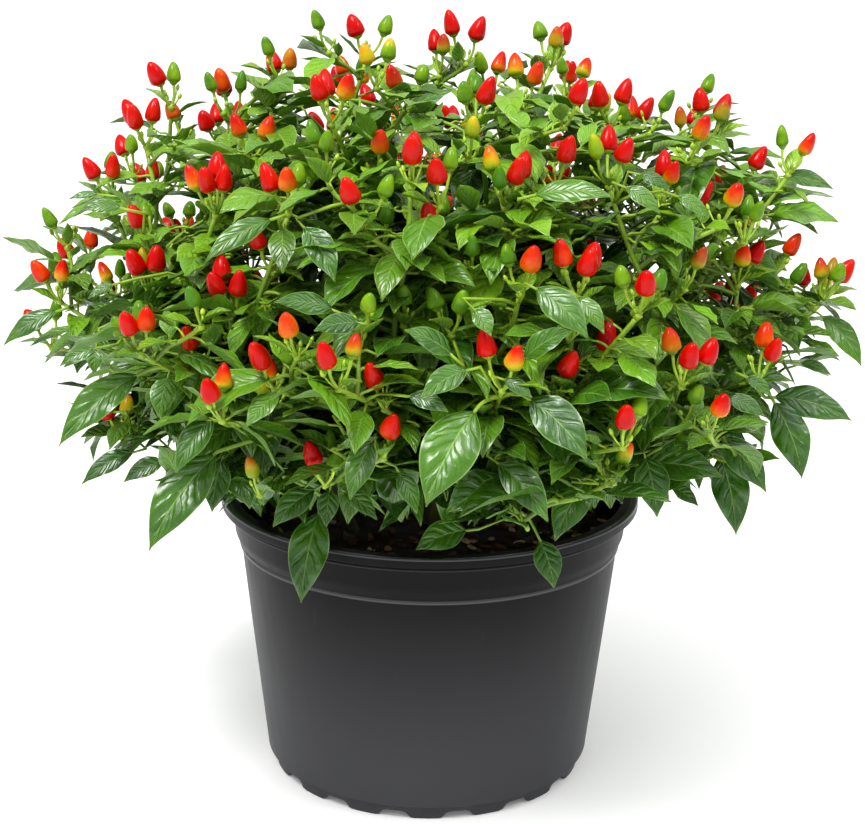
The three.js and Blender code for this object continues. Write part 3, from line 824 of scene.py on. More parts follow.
def lump(middle, sizes, turn, keys):
    """A rough lump or splinter: rings of uneven points along its length."""
    heading = unit(place(1, turn, between(-0.25, 0.25, *keys, 11)))
    across = unit(np.cross([0, 0, 1], heading))
    over = np.cross(heading, across)
    rings = []
    for i, (at, wide) in enumerate(((-0.5, 0.45), (-0.28, 0.95), (0.22, 1.0), (0.5, 0.5))):
        ring = []
        for k in range(LUMP_SIDES):
            angle = 2 * math.pi * k / LUMP_SIDES
            rough = between(0.75, 1.2, *keys, 20 + i, k)
            edge = (sizes[1] / 2 * math.cos(angle) * across
                    + sizes[2] / 2 * math.sin(angle) * over)
            ring.append(middle + sizes[0] * at * heading * between(0.9, 1.1, *keys, 40 + i, k)
                        + rough * wide * edge)
        rings.append(ring)
    return np.array(rings)


chips = Heap("tone")
for i in range(CHIPS):
    keys = (300, i)
    length = between(4, 13, *keys, 3) * (0.6 if i % 3 else 1)
    sizes = (length, between(2.2, 5.5, *keys, 4), between(1.4, 3.2, *keys, 5))
    middle = soil_spot(*keys) + [0, 0, 0.3 * sizes[2]]
    chips.add(lump(middle, sizes, 2 * math.pi * chance(*keys, 6), keys),
              tone=chance(*keys, 7) ** 1.2)
for i in range(CRUMBS):
    keys = (301, i)
    size = between(1.2, 3.4, *keys, 3)
    sizes = (size, size, 0.8 * size)
    chips.add(lump(soil_spot(*keys), sizes, 2 * math.pi * chance(*keys, 6), keys),
              tone=0.25 * chance(*keys, 7))
chips.make("wood_chips", chip_look, "soil")
print("chips and crumbs:", CHIPS + CRUMBS)

# %% [markdown]
# ## How the plant is laid out
# A compact pepper plant has several stems, sown together. How many this pot has can't be seen,
# so seven are taken: six round a middle one. Each outer stem has the space between two
# bearings, and the middle one has a cone above the soil. Everything a stem carries grows in its
# own space, so that the stems of the CAD model don't run into each other.

# %% Stems
def outer_stem(name, start, end, root_out):
    bearing, half = math.radians((start + end) / 2), math.radians((end - start) / 2)
    return {
        "name": name, "bearing": bearing, "half": half, "middle": False,
        "root": place(root_out, bearing, SOIL_HEIGHT),
        "crotch": place(root_out + LEAN_OUT, bearing, CROTCH_HEIGHT),
    }


stems = [
    outer_stem("stem_front", -113, -60, 50), outer_stem("stem_front_right", -60, 0, 66),
    outer_stem("stem_back_right", 0, 60, 56), outer_stem("stem_back", 60, 120, 50),
    outer_stem("stem_back_left", 120, 180, 52), outer_stem("stem_front_left", 180, 247, 56),
    {"name": "stem_middle", "bearing": 0.0, "half": 0.0, "middle": True,
     "root": place(0, 0, SOIL_HEIGHT), "crotch": place(0, 0, MIDDLE_CROTCH_HEIGHT)},
]
print("stems:", ", ".join(stem["name"] for stem in stems))


# %% Shares of the space
def in_share(stem, point, room):
    """Whether a point lies in a stem's share of the space, with room to spare."""
    x, y, z = point
    out = math.hypot(x, y)
    core = CORE_SPREAD * (z - CORE_FOOT)
    over_rim = z > POT_HEIGHT + room
    outside_pot = out > RIM_RADIUS + room
    inside_pot = out < RIM_RADIUS - 12 and z > SOIL_HEIGHT + room
    if out > SPREAD_LIMIT or not (over_rim or outside_pot or inside_pot):
        return False
    if stem["middle"]:
        return out < core - room
    turn = abs(wrap(math.atan2(y, x) - stem["bearing"]))
    return out > core + room and out * math.sin(stem["half"] - turn) > room


def stem_at(point):
    return next((stem for stem in stems if in_share(stem, point, 0)), None)


def draw_in(stem, point, room):
    """Moves a point just far enough into the stem's share to leave room round it."""
    out, bearing = math.hypot(point[0], point[1]), math.atan2(point[1], point[0])
    core = CORE_SPREAD * (point[2] - CORE_FOOT)
    if stem["middle"]:
        return place(min(out, core - room), bearing, point[2])
    out = max(out, core + room)
    most = stem["half"] - math.asin(min(room / out, 0.9))
    turn = wrap(bearing - stem["bearing"])
    return place(out, stem["bearing"] + min(max(turn, -most), most), point[2])


print("a place in front belongs to", stem_at(np.array([0, -150, 300]))["name"])

# %% [markdown]
# ## Fruiting heads
# A head is the fork at the end of a twig that bears a cluster of fruit. Heads scattered by
# chance would not match the photograph, so those of the near side are named by the pixel of
# their cluster, with a letter for each fruit: Red, Orange, Yellow, Green, or Dark. The first
# forty are the CAD model's own.

# %% Heads of the near side
CAD_CLUSTERS = """181,70 RG  145,108 RRR  108,162 ROG  148,209 RG  215,172 RRRO  291,170 OGR
58,264 OOG  150,255 RRY  230,275 RRR  140,312 ROGG  366,22 RG  331,82 ROR  404,72 OG  440,38 RD
476,86 RGG  552,30 RGD  412,142 RR  506,164 RRYG  436,208 RG  252,120 OO  521,249 OG  610,143 RRY
710,102 RRD  791,137 OG  578,252 RRO  653,270 RGG  740,246 RGO  826,264 RDDG  452,291 GG
221,377 RO  268,345 RG  338,344 RD  325,444 RGG  503,347 OR  615,328 RR  684,344 RRO  625,404 RG
761,339 RO  385,366 R  120,400 RY"""
MORE_CLUSTERS = """222,75 G  181,106 D  278,40 G  66,210 G  272,230 R  201,283 G  328,14 G
376,47 YY  467,26 RR  526,68 OO  566,85 R  377,134 O  441,162 RG  362,183 RG  383,202 G  565,142 R  472,118 Y
312,130 GG  474,234 G  612,88 RR  689,79 G  652,94 G  689,121 O  665,164 OR  721,186 O  687,188 R
743,153 R  776,239 O  687,247 D  782,266 G  747,201 GG  404,282 G  363,290 G  194,328 O
272,371 YO  273,456 D  297,312 O  384,415 O  555,355 R  712,392 O  687,380 G
611,441 YG"""
DROP = PEDICEL_LENGTH + FRUIT_LENGTH / 2
FIRST_OF_SCENE = 300


def clusters(text):
    words = text.split()
    for pixel, letters in zip(words[::2], words[1::2]):
        x, y = pixel.split(",")
        yield int(x), int(y), letters


heads = []


def add_head(key, point, letters):
    """Adds a head at a point. Keys below the scene's first are the CAD model's own heads."""
    stem = stem_at(point)
    if stem:
        heads.append({"stem": stem, "key": key, "letters": letters,
                      "point": draw_in(stem, point, HEAD_ROOM), "own": key < FIRST_OF_SCENE})


for words, first, draw in ((CAD_CLUSTERS, 0, 1), (MORE_CLUSTERS, FIRST_OF_SCENE, 31)):
    for i, (x, y, letters) in enumerate(clusters(words)):
        depth = crown_depth(x, y, 1 - 0.2 * chance(i, draw))
        add_head(first + i, seen_point(x, y, depth) - [0, 0, DROP], letters)
print("heads on the near side:", len(heads))

# %% [markdown]
# The photograph doesn't show the far side. Its heads lie on a spiral with golden turns, which
# spreads them as evenly as seeds on a sunflower, and their letters are drawn in about the
# proportions of the near side. The lowest ones bear leaves alone.

# %% Heads on a spiral
SPIRAL_HEADS, SPIRAL_FROM, SPIRAL_TO, LEAFY_BELOW = 72, -0.5, 0.97, -0.25
MORE_HEADS, MORE_FROM, MORE_SPAN = 62, -0.2, 1.16
GOLDEN_TURN = math.pi * (3 - math.sqrt(5))
LETTERS = ["RG", "RRO", "OG", "R", "RRG", "GG", "RO", "RRY", "G", "RD", "ROG", "O"]


def spiral_point(rise, bearing, scale):
    """A place on the crown, scaled towards its middle."""
    half = CROWN_RISE if rise > 0 else CROWN_FALL
    out = CROWN_REACH * math.sqrt(1 - rise * rise) * scale
    return place(out, bearing, CROWN_HEIGHT + half * rise * scale - DROP)


for i in range(SPIRAL_HEADS):
    rise = SPIRAL_FROM + (SPIRAL_TO - SPIRAL_FROM) * (i + 0.5) / SPIRAL_HEADS
    bearing = i * GOLDEN_TURN + 0.4 * (chance(i, 21) - 0.5)
    point = spiral_point(rise, bearing, 1 - 0.16 * chance(i, 22))
    leafy = rise < LEAFY_BELOW
    if leafy or point[1] > 10:
        add_head(200 + i, point, "" if leafy else LETTERS[int(len(LETTERS) * chance(i, 23))])
for i in range(MORE_HEADS):
    rise = MORE_FROM + MORE_SPAN * (i + 0.5) / MORE_HEADS
    bearing = i * GOLDEN_TURN + 1.9 + 0.4 * (chance(i, 24) - 0.5)
    point = spiral_point(rise, bearing, 1 - 0.2 * chance(i, 25))
    if point[1] > 0:
        add_head(400 + i, point, LETTERS[int(len(LETTERS) * chance(i, 26))])
print("heads in all:", len(heads), "with fruit:", sum(len(head["letters"]) for head in heads))

# %% [markdown]
# ## Stems, boughs and limbs
# A real stem leaves the soil upright, leans out, and forks again and again. A rule for growing
# plants could fork it, but its tips would end anywhere. So the tips come first: the boughs
# share a stem's heads among them by bearing, and from each bough a thin limb runs to each of
# its heads. The rule is the CAD model's, so that the branches lie where its stems lie.

# %% Routes and shares of the heads
BOUGHS, MIDDLE_BOUGHS = 3, 5


def route(start, end, stem, parts):
    """From one place to another, out first and then up, round the pot's axis."""
    from_out, from_bearing = math.hypot(*start[:2]), math.atan2(start[1], start[0])
    to_out, to_bearing = math.hypot(*end[:2]), math.atan2(end[1], end[0])
    turn = 0 if from_out < 1 else wrap(to_bearing - from_bearing)
    ease = 0.8 if stem["middle"] else 1.25
    t = np.linspace(0, 1, parts + 1)
    out = from_out + (to_out - from_out) * t ** (1 / ease)
    bearing = to_bearing - turn * (1 - t)
    height = start[2] + (end[2] - start[2]) * t**ease
    return np.stack([out * np.cos(bearing), out * np.sin(bearing), height], 1)


def share_heads(stem):
    """A stem's own heads in groups by bearing, with the place where each group's bough ends."""
    def bearing(head):
        return wrap(math.atan2(head["point"][1], head["point"][0]) - stem["bearing"])

    own = sorted((head for head in heads if head["stem"] is stem and head["own"]), key=bearing)
    count = MIDDLE_BOUGHS if stem["middle"] else BOUGHS
    for i in range(count):
        group = [head for k, head in enumerate(own) if k * count // len(own) == i]
        group.sort(key=lambda head: head["point"][2])
        out = np.mean([math.hypot(*head["point"][:2]) for head in group])
        height = np.mean([head["point"][2] for head in group])
        middle = place(out, stem["bearing"] + np.mean([bearing(head) for head in group]), height)
        yield group, route(stem["crotch"], middle, stem, 5)[4]


print("heads on each bough in front:", [len(group) for group, _ in share_heads(stems[0])])

# %% [markdown]
# Real twigs swell a little where leaves and fruit leave them, and turn from the bough's way to
# their own. So a limb's radii are drawn a little unevenly, and it sets out along the bough.

# %% Limbs
LIMB_POINTS, LIMB_SIDES = 12, 7
wood = {stem["name"]: Heap("fresh") for stem in stems}
leaves = {stem["name"]: Heap("along", "across", "under", "tone", "young") for stem in stems}
fruit = {stem["name"]: Heap("ripe", "dark") for stem in stems}
limb_points, limb_owner = [], []


def keep_places(points, name):
    """Notes places on the wood of a stem, where twigs and leaves may start."""
    limb_points.extend(points)
    limb_owner.extend([name] * len(points))


def knobbly(count, start, end, *keys):
    """Radii that taper from start to end, with small swellings."""
    t = np.linspace(0, 1, count)
    bumps = [between(0.94, 1.10, *keys, 60 + i) for i in range(count)]
    return (start + (end - start) * t) * np.array(bumps)


def grow_limb(head, start, way, thick, *keys):
    """A limb or twig from a place on the wood to a head, which sets out along the wood's way."""
    end = head["point"]
    span = np.linalg.norm(end - start)
    bend = unit(np.cross(end - start, [0, 0, 1]) + 1e-6)
    points = [
        start, start + 0.30 * (end - start) + way * 0.06 * span,
        start + 0.66 * (end - start) + bend * between(-0.05, 0.05, *keys, 50) * span, end,
    ]
    path = smooth_path(points, LIMB_POINTS)
    head["limb"] = path
    head["way"] = unit(path[-1] - path[-3])
    name = head["stem"]["name"]
    radii = knobbly(LIMB_POINTS, thick, 1.15 if head["letters"] else 0.8, *keys)
    fresh = np.linspace(0.45, 0.85, LIMB_POINTS)[:, None]
    wood[name].add(tube(path, radii, LIMB_SIDES), fresh=fresh)
    keep_places(path[2:-1], name)


print("radii along a limb, mm:", knobbly(4, LIMB_RADIUS, 1.15, 1).round(2))

# %% Stems, boughs and the CAD model's limbs
CHAIN_LINKS = 20
for stem in stems:
    name = stem["name"]
    foot = stem["root"] - [0, 0, ROOT_DEPTH]
    neck = stem["root"] + [0, 0, 6]
    trunk = smooth_path([foot, neck - [0, 0, 8], neck, stem["crotch"]], 16)
    radii = np.interp(trunk[:, 2], [foot[2], SOIL_HEIGHT + 2, stem["crotch"][2]],
                      [STEM_RADIUS + 0.5, STEM_RADIUS + 0.2, 3.6])
    fresh = np.interp(trunk[:, 2], [150, 205], [0.0, 0.35])
    wood[name].add(tube(trunk, radii, 12), fresh=fresh[:, None])
    for i, (group, end) in enumerate(share_heads(stem)):
        start = neck + (stem["crotch"] - neck) * (0.95 - 0.17 * i)
        path = route(start, end, stem, 12)
        radii = knobbly(len(path), BOUGH_RADIUS, BOUGH_RADIUS - 0.9, i, 70)
        fresh = np.interp(path[:, 2], [180, 300], [0.25, 0.6])
        wood[name].add(tube(path, radii, 9), fresh=fresh[:, None])
        keep_places(path[3:], name)
        chain = points_along(route(start, end, stem, 2), CHAIN_LINKS)
        for k, head in enumerate(group):
            at = math.floor(CHAIN_LINKS * (0.35 + 0.6 * (k + 1) / len(group)) + 0.5)
            way = unit(chain[at] - chain[at - 1])
            grow_limb(head, chain[at], way, LIMB_RADIUS, head["key"])
print("limbs to the CAD model's own heads:", sum("limb" in head for head in heads))


# %% [markdown]
# The CAD model has only about half of the heads. The others grow on thinner twigs, each from
# the nearest place on its own stem's wood that lies below it.

# %% Twigs to the other heads
TWIG_RADIUS = 1.3


def nearest_wood(name, point, least, below):
    """The nearest place on a stem's wood that is far enough from a point and below it."""
    places = np.array([p for p, owner in zip(limb_points, limb_owner) if owner == name])
    reach = np.linalg.norm(places - point, axis=1)
    bad = (reach < least) | (places[:, 2] > point[2] - below)
    cost = reach + 200 * bad
    best = np.argmin(cost)
    return places[best], reach[best]


for head in heads:
    if "limb" not in head:
        start, _ = nearest_wood(head["stem"]["name"], head["point"], 22, 14)
        grow_limb(head, start, np.array([0, 0, 1.0]), TWIG_RADIUS, head["key"])
print("places on the wood where leaves can grow:", len(limb_points))

# %% [markdown]
# ## Room
# Real leaves and fruit grow into free air. Testing each new mesh against all the others would
# take minutes. So the space is divided into small cubes, and whatever is placed marks the cubes
# that it fills. A new leaf is turned and tipped a few ways, and takes the way that meets the
# fewest marks.

# %% Room marks
CUBE = 5.0
ROOM_LOW = np.array([-270.0, -270.0, 100.0])
room = np.zeros((108, 108, 76), np.uint8)


def cubes(points):
    at = ((points.reshape(-1, 3) - ROOM_LOW) / CUBE).astype(int)
    return tuple(np.clip(at, 0, np.array(room.shape) - 1).T)


def mark(points, weight):
    room[cubes(points)] = weight


mark(np.array(limb_points), 1)
print("cubes with wood in them:", np.count_nonzero(room))

# %% [markdown]
# ## Fruit
# A real fruit is a blunt cone with round shoulders, 10 to 15 mm long, and no two are quite
# alike. One model could be copied, but then all would bend and ripen in the same way. So each
# is a skin of its own, with a calyx whose small teeth hold it. Pixels where a fruit is seen are
# noted, so that no leaf that comes later hides it.

# %% Kinds of fruit
RIPENESS = {"R": (0.88, 1.0, 0.0), "O": (0.58, 0.84, 0.0), "Y": (0.22, 0.42, 0.0),
            "G": (0.0, 0.14, 0.0), "D": (0.3, 0.6, 0.8)}
FRUIT_SIZES = {"R": (0.92, 1.06), "O": (0.86, 1.0), "Y": (0.76, 0.92),
               "G": (0.72, 0.90), "D": (0.76, 0.92)}
FRUIT_PLUMPNESS = 1.04
print("red fruit, mm long:", [round(FRUIT_LENGTH * size, 1) for size in FRUIT_SIZES["R"]])

# %% One fruit
FRUIT_STEPS = np.array([0, 0.03, 0.10, 0.20, 0.32, 0.46, 0.60, 0.73, 0.84, 0.92, 0.97, 0.995])
FRUIT_SIDES, CALYX_SIDES = 12, 10
in_sight = np.zeros((PICTURE_HEIGHT, PICTURE_WIDTH))


def grow_fruit(stem, base, axis, length, radius, ripe, dark, keys):
    low = np.sqrt(1 - 0.75 * np.clip((0.17 - FRUIT_STEPS) / 0.17, 0, 1) ** 2)
    high = (1 - np.clip((FRUIT_STEPS - 0.22) / 0.78, 0, 1) ** between(1.4, 2.05, *keys, 20)) ** 0.57
    lean = place(0.06 * length, 2 * math.pi * chance(*keys, 1), 0)
    path = base + np.outer(FRUIT_STEPS * length, axis) + np.outer(FRUIT_STEPS**2, lean)
    rings = tube(path, radius * low * high, FRUIT_SIDES)
    turns = 2 * np.pi * np.arange(FRUIT_SIDES) / FRUIT_SIDES
    uneven = (1 + 0.035 * np.cos(2 * turns + 6 * chance(*keys, 2))
              + 0.02 * np.cos(3 * turns + 6 * chance(*keys, 3)))
    rings = path[:, None] + (rings - path[:, None]) * uneven[None, :, None]
    ripening = between(-0.05, 0.8, *keys, 4) * (ripe > 0.18) if ripe < 0.85 else 0.03
    ripe = ripe + ripening * (FRUIT_STEPS - 0.6)
    dark = dark * (0.5 + 0.5 * FRUIT_STEPS)
    fruit[stem].add(rings, ripe=ripe[:, None], dark=dark[:, None])
    mark(path, 3)
    x, y, depth = (int(v) for v in np.ravel(pixels(path[5:6])))
    window = in_sight[max(y - 14, 0):y + 16, max(x - 9, 0):x + 10]
    window[:] = np.maximum(window, depth)
    teeth = np.where(np.arange(CALYX_SIDES) % 2, 1.0, 0.55)
    cup = tube(base + np.outer([-1.6, -0.9, 0.0], axis), [1.0, 0.46 * radius, 0.60 * radius],
               CALYX_SIDES)
    rim = base + (cup[2] - base) * 1.12 + np.outer(teeth * 0.10 * length, axis)
    wood[stem].add(np.array([*cup, rim]), fresh=0.72)


print("points on a fruit:", len(FRUIT_STEPS) * FRUIT_SIDES)

# %% [markdown]
# The real pedicels leave a head sideways and turn up, which keeps the fruit upright. The fruit
# of one cluster share out the directions round the head, and lean out a little with the crown.
# There are also tiny buds that haven't grown yet.

# %% Clusters
FRUIT_LEAN = 0.3
PEDICEL_RADII = [1.0, 0.8, 0.78, 0.8, 0.88, 1.1]


def grow_cluster(head):
    stem, key = head["stem"]["name"], head["key"]
    outward = math.atan2(head["point"][1], head["point"][0])
    first = outward + 2 * (chance(key, 11) - 0.5)
    start = head["point"]
    count = len(head["letters"])
    knob_radii = (1.0 if count else 0.6) * np.array([1.3, 2.1, 1.1])
    knob = tube([start - head["way"] * 2.4, start, start + [0, 0, 1.6]], knob_radii, LIMB_SIDES)
    wood[stem].add(knob, fresh=0.9)
    for j, letter in enumerate(head["letters"]):
        keys = (key, 80 + j)
        low, high, dark = RIPENESS[letter]
        ripe = between(low, high, *keys, 5)
        length = FRUIT_LENGTH * between(*FRUIT_SIZES[letter], *keys, 6)
        radius = FRUIT_PLUMPNESS * FRUIT_RADIUS * between(*FRUIT_SIZES[letter], *keys, 7)
        turn = first + 2 * math.pi * j / count + (0.5 * (chance(*keys, 8) - 0.5) if j else 0)
        spread = 0.3 if j == 0 else between(0.42, 0.75, *keys, 9)
        lean = unit(place(spread, turn, 1) + FRUIT_LEAN * start * [1, 1, 0] / CROWN_REACH)
        reach = PEDICEL_LENGTH * (1.0 if j == 0 else between(0.9, 1.3, *keys, 10))
        base = start + lean * reach
        axis = unit(lean + [0, 0, 0.8 * (j > 0)])
        bow = start + 0.5 * (base - start) + place(0.10 * reach, turn, 0)
        path = smooth_path([start, bow, base], len(PEDICEL_RADII))
        wood[stem].add(tube(path, PEDICEL_RADII, 6), fresh=np.linspace(0.85, 1.0, 6)[:, None])
        dark = dark * between(0.5, 1, *keys, 12)
        grow_fruit(stem, base, axis, length, radius, ripe, dark, keys)
    grow_buds(stem, key, start, first, 2 + int(3 * chance(key, 13)) if count else 0)


def grow_buds(stem, key, start, first, count):
    """Tiny buds on short stubs round a head."""
    for j in range(count):
        turn = first + math.pi * (1 + 0.7 * j) + 1.2 * chance(key, 14, j)
        lean = unit(place(between(0.5, 1.1, key, 16, j), turn, 1))
        reach = between(5, 12, key, 15, j)
        tip = start + lean * reach
        stub = [start, start + lean * 0.5 * reach + place(0.8, turn, 0), tip]
        wood[stem].add(tube(stub, [0.75, 0.55, 0.6], 4), fresh=1.0)
        bud = tip + np.outer([-0.3, 0.9, 2.2, 3.2], unit(lean + [0, 0, 0.6]))
        swell = between(0.75, 1.25, key, 17, j)
        wood[stem].add(tube(bud, np.array([0.7, 1.1, 0.95, 0.3]) * swell, 5), fresh=1.0)


for head in heads:
    grow_cluster(head)
print("fruit grown:", sum(len(head["letters"]) for head in heads),
      "in clusters:", sum(len(head["letters"]) > 0 for head in heads))

# %% [markdown]
# ## Leaves
# A real leaf is a petiole and a blade. The blade is egg-shaped with a drawn-out tip. It folds a
# little at the midrib and droops along its length. A flat picture of a leaf would be quick, but
# its edge would look like paper. So the midrib is a bent line first, and the blade's width
# across it is a curve that both ends bring to nothing.

# %% Midrib and width of a blade
def blade_centre(leaf, t):
    """Points along a blade's midrib, with the directions along, across and over it."""
    slope = leaf["pitch"] - leaf["droop"] * t
    flat, side = place(1, leaf["heading"], 0), place(1, leaf["heading"] + math.pi / 2, 0)
    scale = leaf["length"] / leaf["droop"]
    up = np.array([0, 0, 1.0])
    centre = (leaf["at"] + np.outer(scale * (math.sin(leaf["pitch"]) - np.sin(slope)), flat)
              + np.outer(scale * (np.cos(slope) - math.cos(leaf["pitch"])), up)
              + np.outer(leaf["bend"] * leaf["length"] * t**2, side))
    along = np.outer(np.cos(slope), flat) + np.outer(np.sin(slope), up)
    roll = (leaf["roll"] + leaf["twist"] * t)[:, None]
    across = np.cos(roll) * side + np.sin(roll) * np.cross(along, side)
    return centre, along, across, np.cross(along, across)


def blade_share(t):
    """The blade's half-width at a share of its length, as a share of the widest."""
    return 4.63 * t**0.95 * (1 - t) ** 1.3


print("widest at these shares of its length:", blade_share(np.array([0.3, 0.42, 0.6])).round(2))

# %% [markdown]
# The real margins wave, and on a large leaf the tissue bulges between the side veins. Folded
# sheets would have no thickness, so the blade is a closed skin that thins towards its margin,
# with the midrib as a ridge below. Small leaves need fewer rings than large ones.

# %% The blade
LARGE_LEAF, MIDDLE_LEAF = 42, 28
BLADE_GRIDS = {
    "large": (29, np.array([1, 0.8, 0.52, 0.2, 0, -0.2, -0.52, -0.8, -1])),
    "middle": (10, np.array([1, 0.62, 0.18, 0, -0.18, -0.62, -1])),
    "small": (8, np.array([1, 0.5, 0, -0.5, -1])),
}
BLADE_THICKNESS, THINNEST_HALF = 0.75, 0.25
LEAF_WAVES = 2.4


def leaf_size(length):
    return "large" if length >= LARGE_LEAF else "middle" if length >= MIDDLE_LEAF else "small"


def blade_lift(leaf, t, half, v, quilted):
    """How far a blade's upper side rises from its flat middle: fold, curl, waves and bulges."""
    side = np.abs(v)
    lift = half * (leaf["fold"] * side - leaf["curl"] * side**2)
    waves = np.sin(2 * np.pi * (LEAF_WAVES * t + leaf["phase"] + 0.27 * (v > 0)))
    lift = lift + half * leaf["wave"] * side**1.5 * waves
    if quilted:
        bulge = np.abs(np.sin(np.pi * (SIDE_VEINS * t - VEIN_SLANT * side**0.85))) ** 0.8
        lift = lift + (0.013 * leaf["length"] * bulge * (1 - side**3)
                       * np.minimum(side * 4, 1) * np.minimum(half / 4, 1))
    return lift - 0.2 * (side == 0)


def blade(leaf):
    """A blade's rings, and the values for its material."""
    length = leaf["length"]
    size = "small" if leaf["inner"] else leaf_size(length)
    rows, columns = BLADE_GRIDS[size]
    t = np.linspace(0, 1, rows) ** 0.9
    t[0] = 0.012
    centre, along, across, over = blade_centre(leaf, t)
    half = LEAF_WIDTH * leaf["wide"] * length * blade_share(np.minimum(t, 0.998))
    t, half = t[:, None], np.maximum(half, THINNEST_HALF)[:, None]
    v = np.append(columns, 0)[None, :]
    side = np.abs(v)
    ridge = (0.25 + 0.012 * length) * (1 - t) ** 0.6 * (side == 0)
    under = np.arange(v.size)[None, :] == columns.size
    thick = (BLADE_THICKNESS * (1 - side**2.5) + ridge) * np.minimum(half / 2, 1) * under
    lift = blade_lift(leaf, t, half, v, size == "large")
    rings = (centre[:, None] + across[:, None] * (half * v)[:, :, None]
             + over[:, None] * (lift - thick)[:, :, None])
    return rings, {"along": t, "across": v, "under": under,
                   "tone": leaf["tone"], "young": leaf["young"]}


print("points on a blade:", {size: rows * (columns.size + 1)
                             for size, (rows, columns) in BLADE_GRIDS.items()})


# %% [markdown]
# A real petiole leaves the wood upwards and runs into the midrib. A straight stick would meet
# the blade at a kink, so its path ends along the blade's own first direction.

# %% Petiole
def petiole(leaf):
    """Rings from the wood to the blade. Leaves deep in the crown get a plainer stalk."""
    start, end = leaf["from"], leaf["at"]
    _, along, _, over = blade_centre(leaf, np.array([0.0, 0.05]))
    span = np.linalg.norm(end - start)
    lift = np.array([0, 0, 0.10 * span])
    knee = leaf.get("knee", start + 0.35 * (end - start) + lift)
    path = [start, knee, end - along[0] * 0.25 * span, end + along[1] * 1.2 - over[1] * 0.4]
    thick = PETIOLE_RADIUS * (0.7 + leaf["length"] / 120) * (1 + span / 120)
    if leaf["inner"]:
        return tube([path[0], path[1], path[3]], np.array([1.2, 0.95, 0.8]) * thick, 3)
    if leaf["length"] < LARGE_LEAF:
        return tube(path, np.array([1.2, 0.95, 0.9, 0.8]) * thick, 4)
    return tube(smooth_path(path, 8), np.linspace(1.3, 0.85, 8) * thick, 6)


print("a small leaf's petiole, mm thick:", round(2 * PETIOLE_RADIUS * (0.7 + 20 / 120), 2))

# %% [markdown]
# No two real leaves droop, roll or wave alike, so each leaf draws these for itself. Leaves low
# in the crown are older and darker, and shade is painted on top of that: leaves high in the crown
# are painted lighter as if in the sun, and those near the soil are painted dark as shade.

# %% A new leaf
DARK_HEIGHT, LIGHT_HEIGHT, MOST_LIGHT = 205, 335, 1.15


def new_leaf(start, heading, pitch, length, stalk, *keys, **given):
    leaf = {
        "from": start, "heading": heading, "pitch": pitch, "length": length,
        "droop": between(0.15, 1.1, *keys, 2), "roll": 0.9 * (chance(*keys, 3) - 0.5),
        "twist": 0.6 * (chance(*keys, 13) - 0.5), "bend": 0.16 * (chance(*keys, 14) - 0.5),
        "fold": between(0.12, 0.5, *keys, 15), "curl": between(0.0, 0.3, *keys, 16),
        "wave": between(0.05, 0.14, *keys, 17), "phase": chance(*keys, 18),
        "wide": between(0.80, 1.12, *keys, 19), "tone": chance(*keys, 20), "young": 0.0,
        "inner": False,
    }
    leaf.update(given)
    if "at" not in leaf:
        way = math.cos(pitch) * place(1, heading, 0) + [0, 0, math.sin(pitch)]
        leaf["at"] = start + stalk * way
    # Painted light and shade: tone, youth and the petiole's freshness grow with height, partly for older low
    # leaves and partly as painted shade.
    light = np.interp(leaf["at"][2], (DARK_HEIGHT, LIGHT_HEIGHT), (0.0, MOST_LIGHT))
    leaf["tone"], leaf["young"] = light * leaf["tone"], light * leaf["young"]
    leaf["fresh"] = 0.64 + 0.16 * min(light, 1) + 0.2 * leaf["young"]
    return leaf


def turned_leaf(leaf, turn, tip):
    """The same leaf with its petiole and blade turned about the twig, and tipped."""
    stalk = leaf["at"] - leaf["from"]
    cos, sin = math.cos(turn), math.sin(turn)
    stalk = np.array([cos * stalk[0] - sin * stalk[1], sin * stalk[0] + cos * stalk[1], stalk[2]])
    return {**leaf, "heading": leaf["heading"] + turn, "pitch": leaf["pitch"] + tip,
            "at": leaf["from"] + stalk}


sample = new_leaf(place(100, 0, 300), 0, 0.4, 40, 8, 1)
print("a sample leaf: tone", round(sample["tone"], 2), "droop", round(sample["droop"], 2))

# %% [markdown]
# A real leaf can't grow through the pot, and it seeks free air. A blade's crowding counts the
# marks that it meets, and adds more where it runs into the pot or out of the crown. It also
# counts points that would hide what the photograph shows. On the near side only the large
# leaves hang below the crown's hem, which is a line of pixels.

# %% Crowding
HEM = np.array([
    (0, 330), (40, 400), (60, 450), (100, 480), (150, 485), (200, 505), (260, 520), (320, 526),
    (430, 528), (540, 524), (600, 510), (700, 500), (760, 480), (820, 440), (865, 350),
]).T
HIGHEST, LOWEST = 452, 100


def pixel_of(x, y):
    """The row and column of the picture that hold a point, or the nearest ones."""
    return (np.clip(y, 0, PICTURE_HEIGHT - 1).astype(int),
            np.clip(x, 0, PICTURE_WIDTH - 1).astype(int))


def crowding(rings):
    """How much a blade runs into what is there, or out of the space that it may use."""
    points = rings[2:].reshape(-1, 3)
    up = points[:, 2]
    out = np.hypot(points[:, 0], points[:, 1])
    inside_pot = (out < RIM_RADIUS - 8) & (up < SOIL_HEIGHT + 2)
    in_rim = (out >= RIM_RADIUS - 8) & (out < RIM_RADIUS + 3) & (up < POT_HEIGHT + 2)
    beyond = (out > SPREAD_LIMIT - 2) | (up > HIGHEST) | (up < LOWEST)
    x, y, depth = pixels(points)
    below_hem = (points[:, 1] < 40) & (y > np.interp(x, *HEM))
    hides = depth < in_sight[pixel_of(x, y)] - 4
    faults = 3 * (inside_pot | in_rim | beyond | below_hem) + 2 * hides
    return room[cubes(points)].astype(float).mean() + faults.mean()


def keep_in_sight(rings):
    """Notes the pixels round some rings, so that later leaves don't hide them."""
    x, y, depth = pixels(rings.reshape(-1, 3))
    for step_x in (-2, 0, 2):
        for step_y in (-2, 0, 2):
            np.maximum.at(in_sight, pixel_of(x + step_x, y + step_y), depth)


print("crowding of the sample leaf:", round(crowding(blade(sample)[0]), 2))

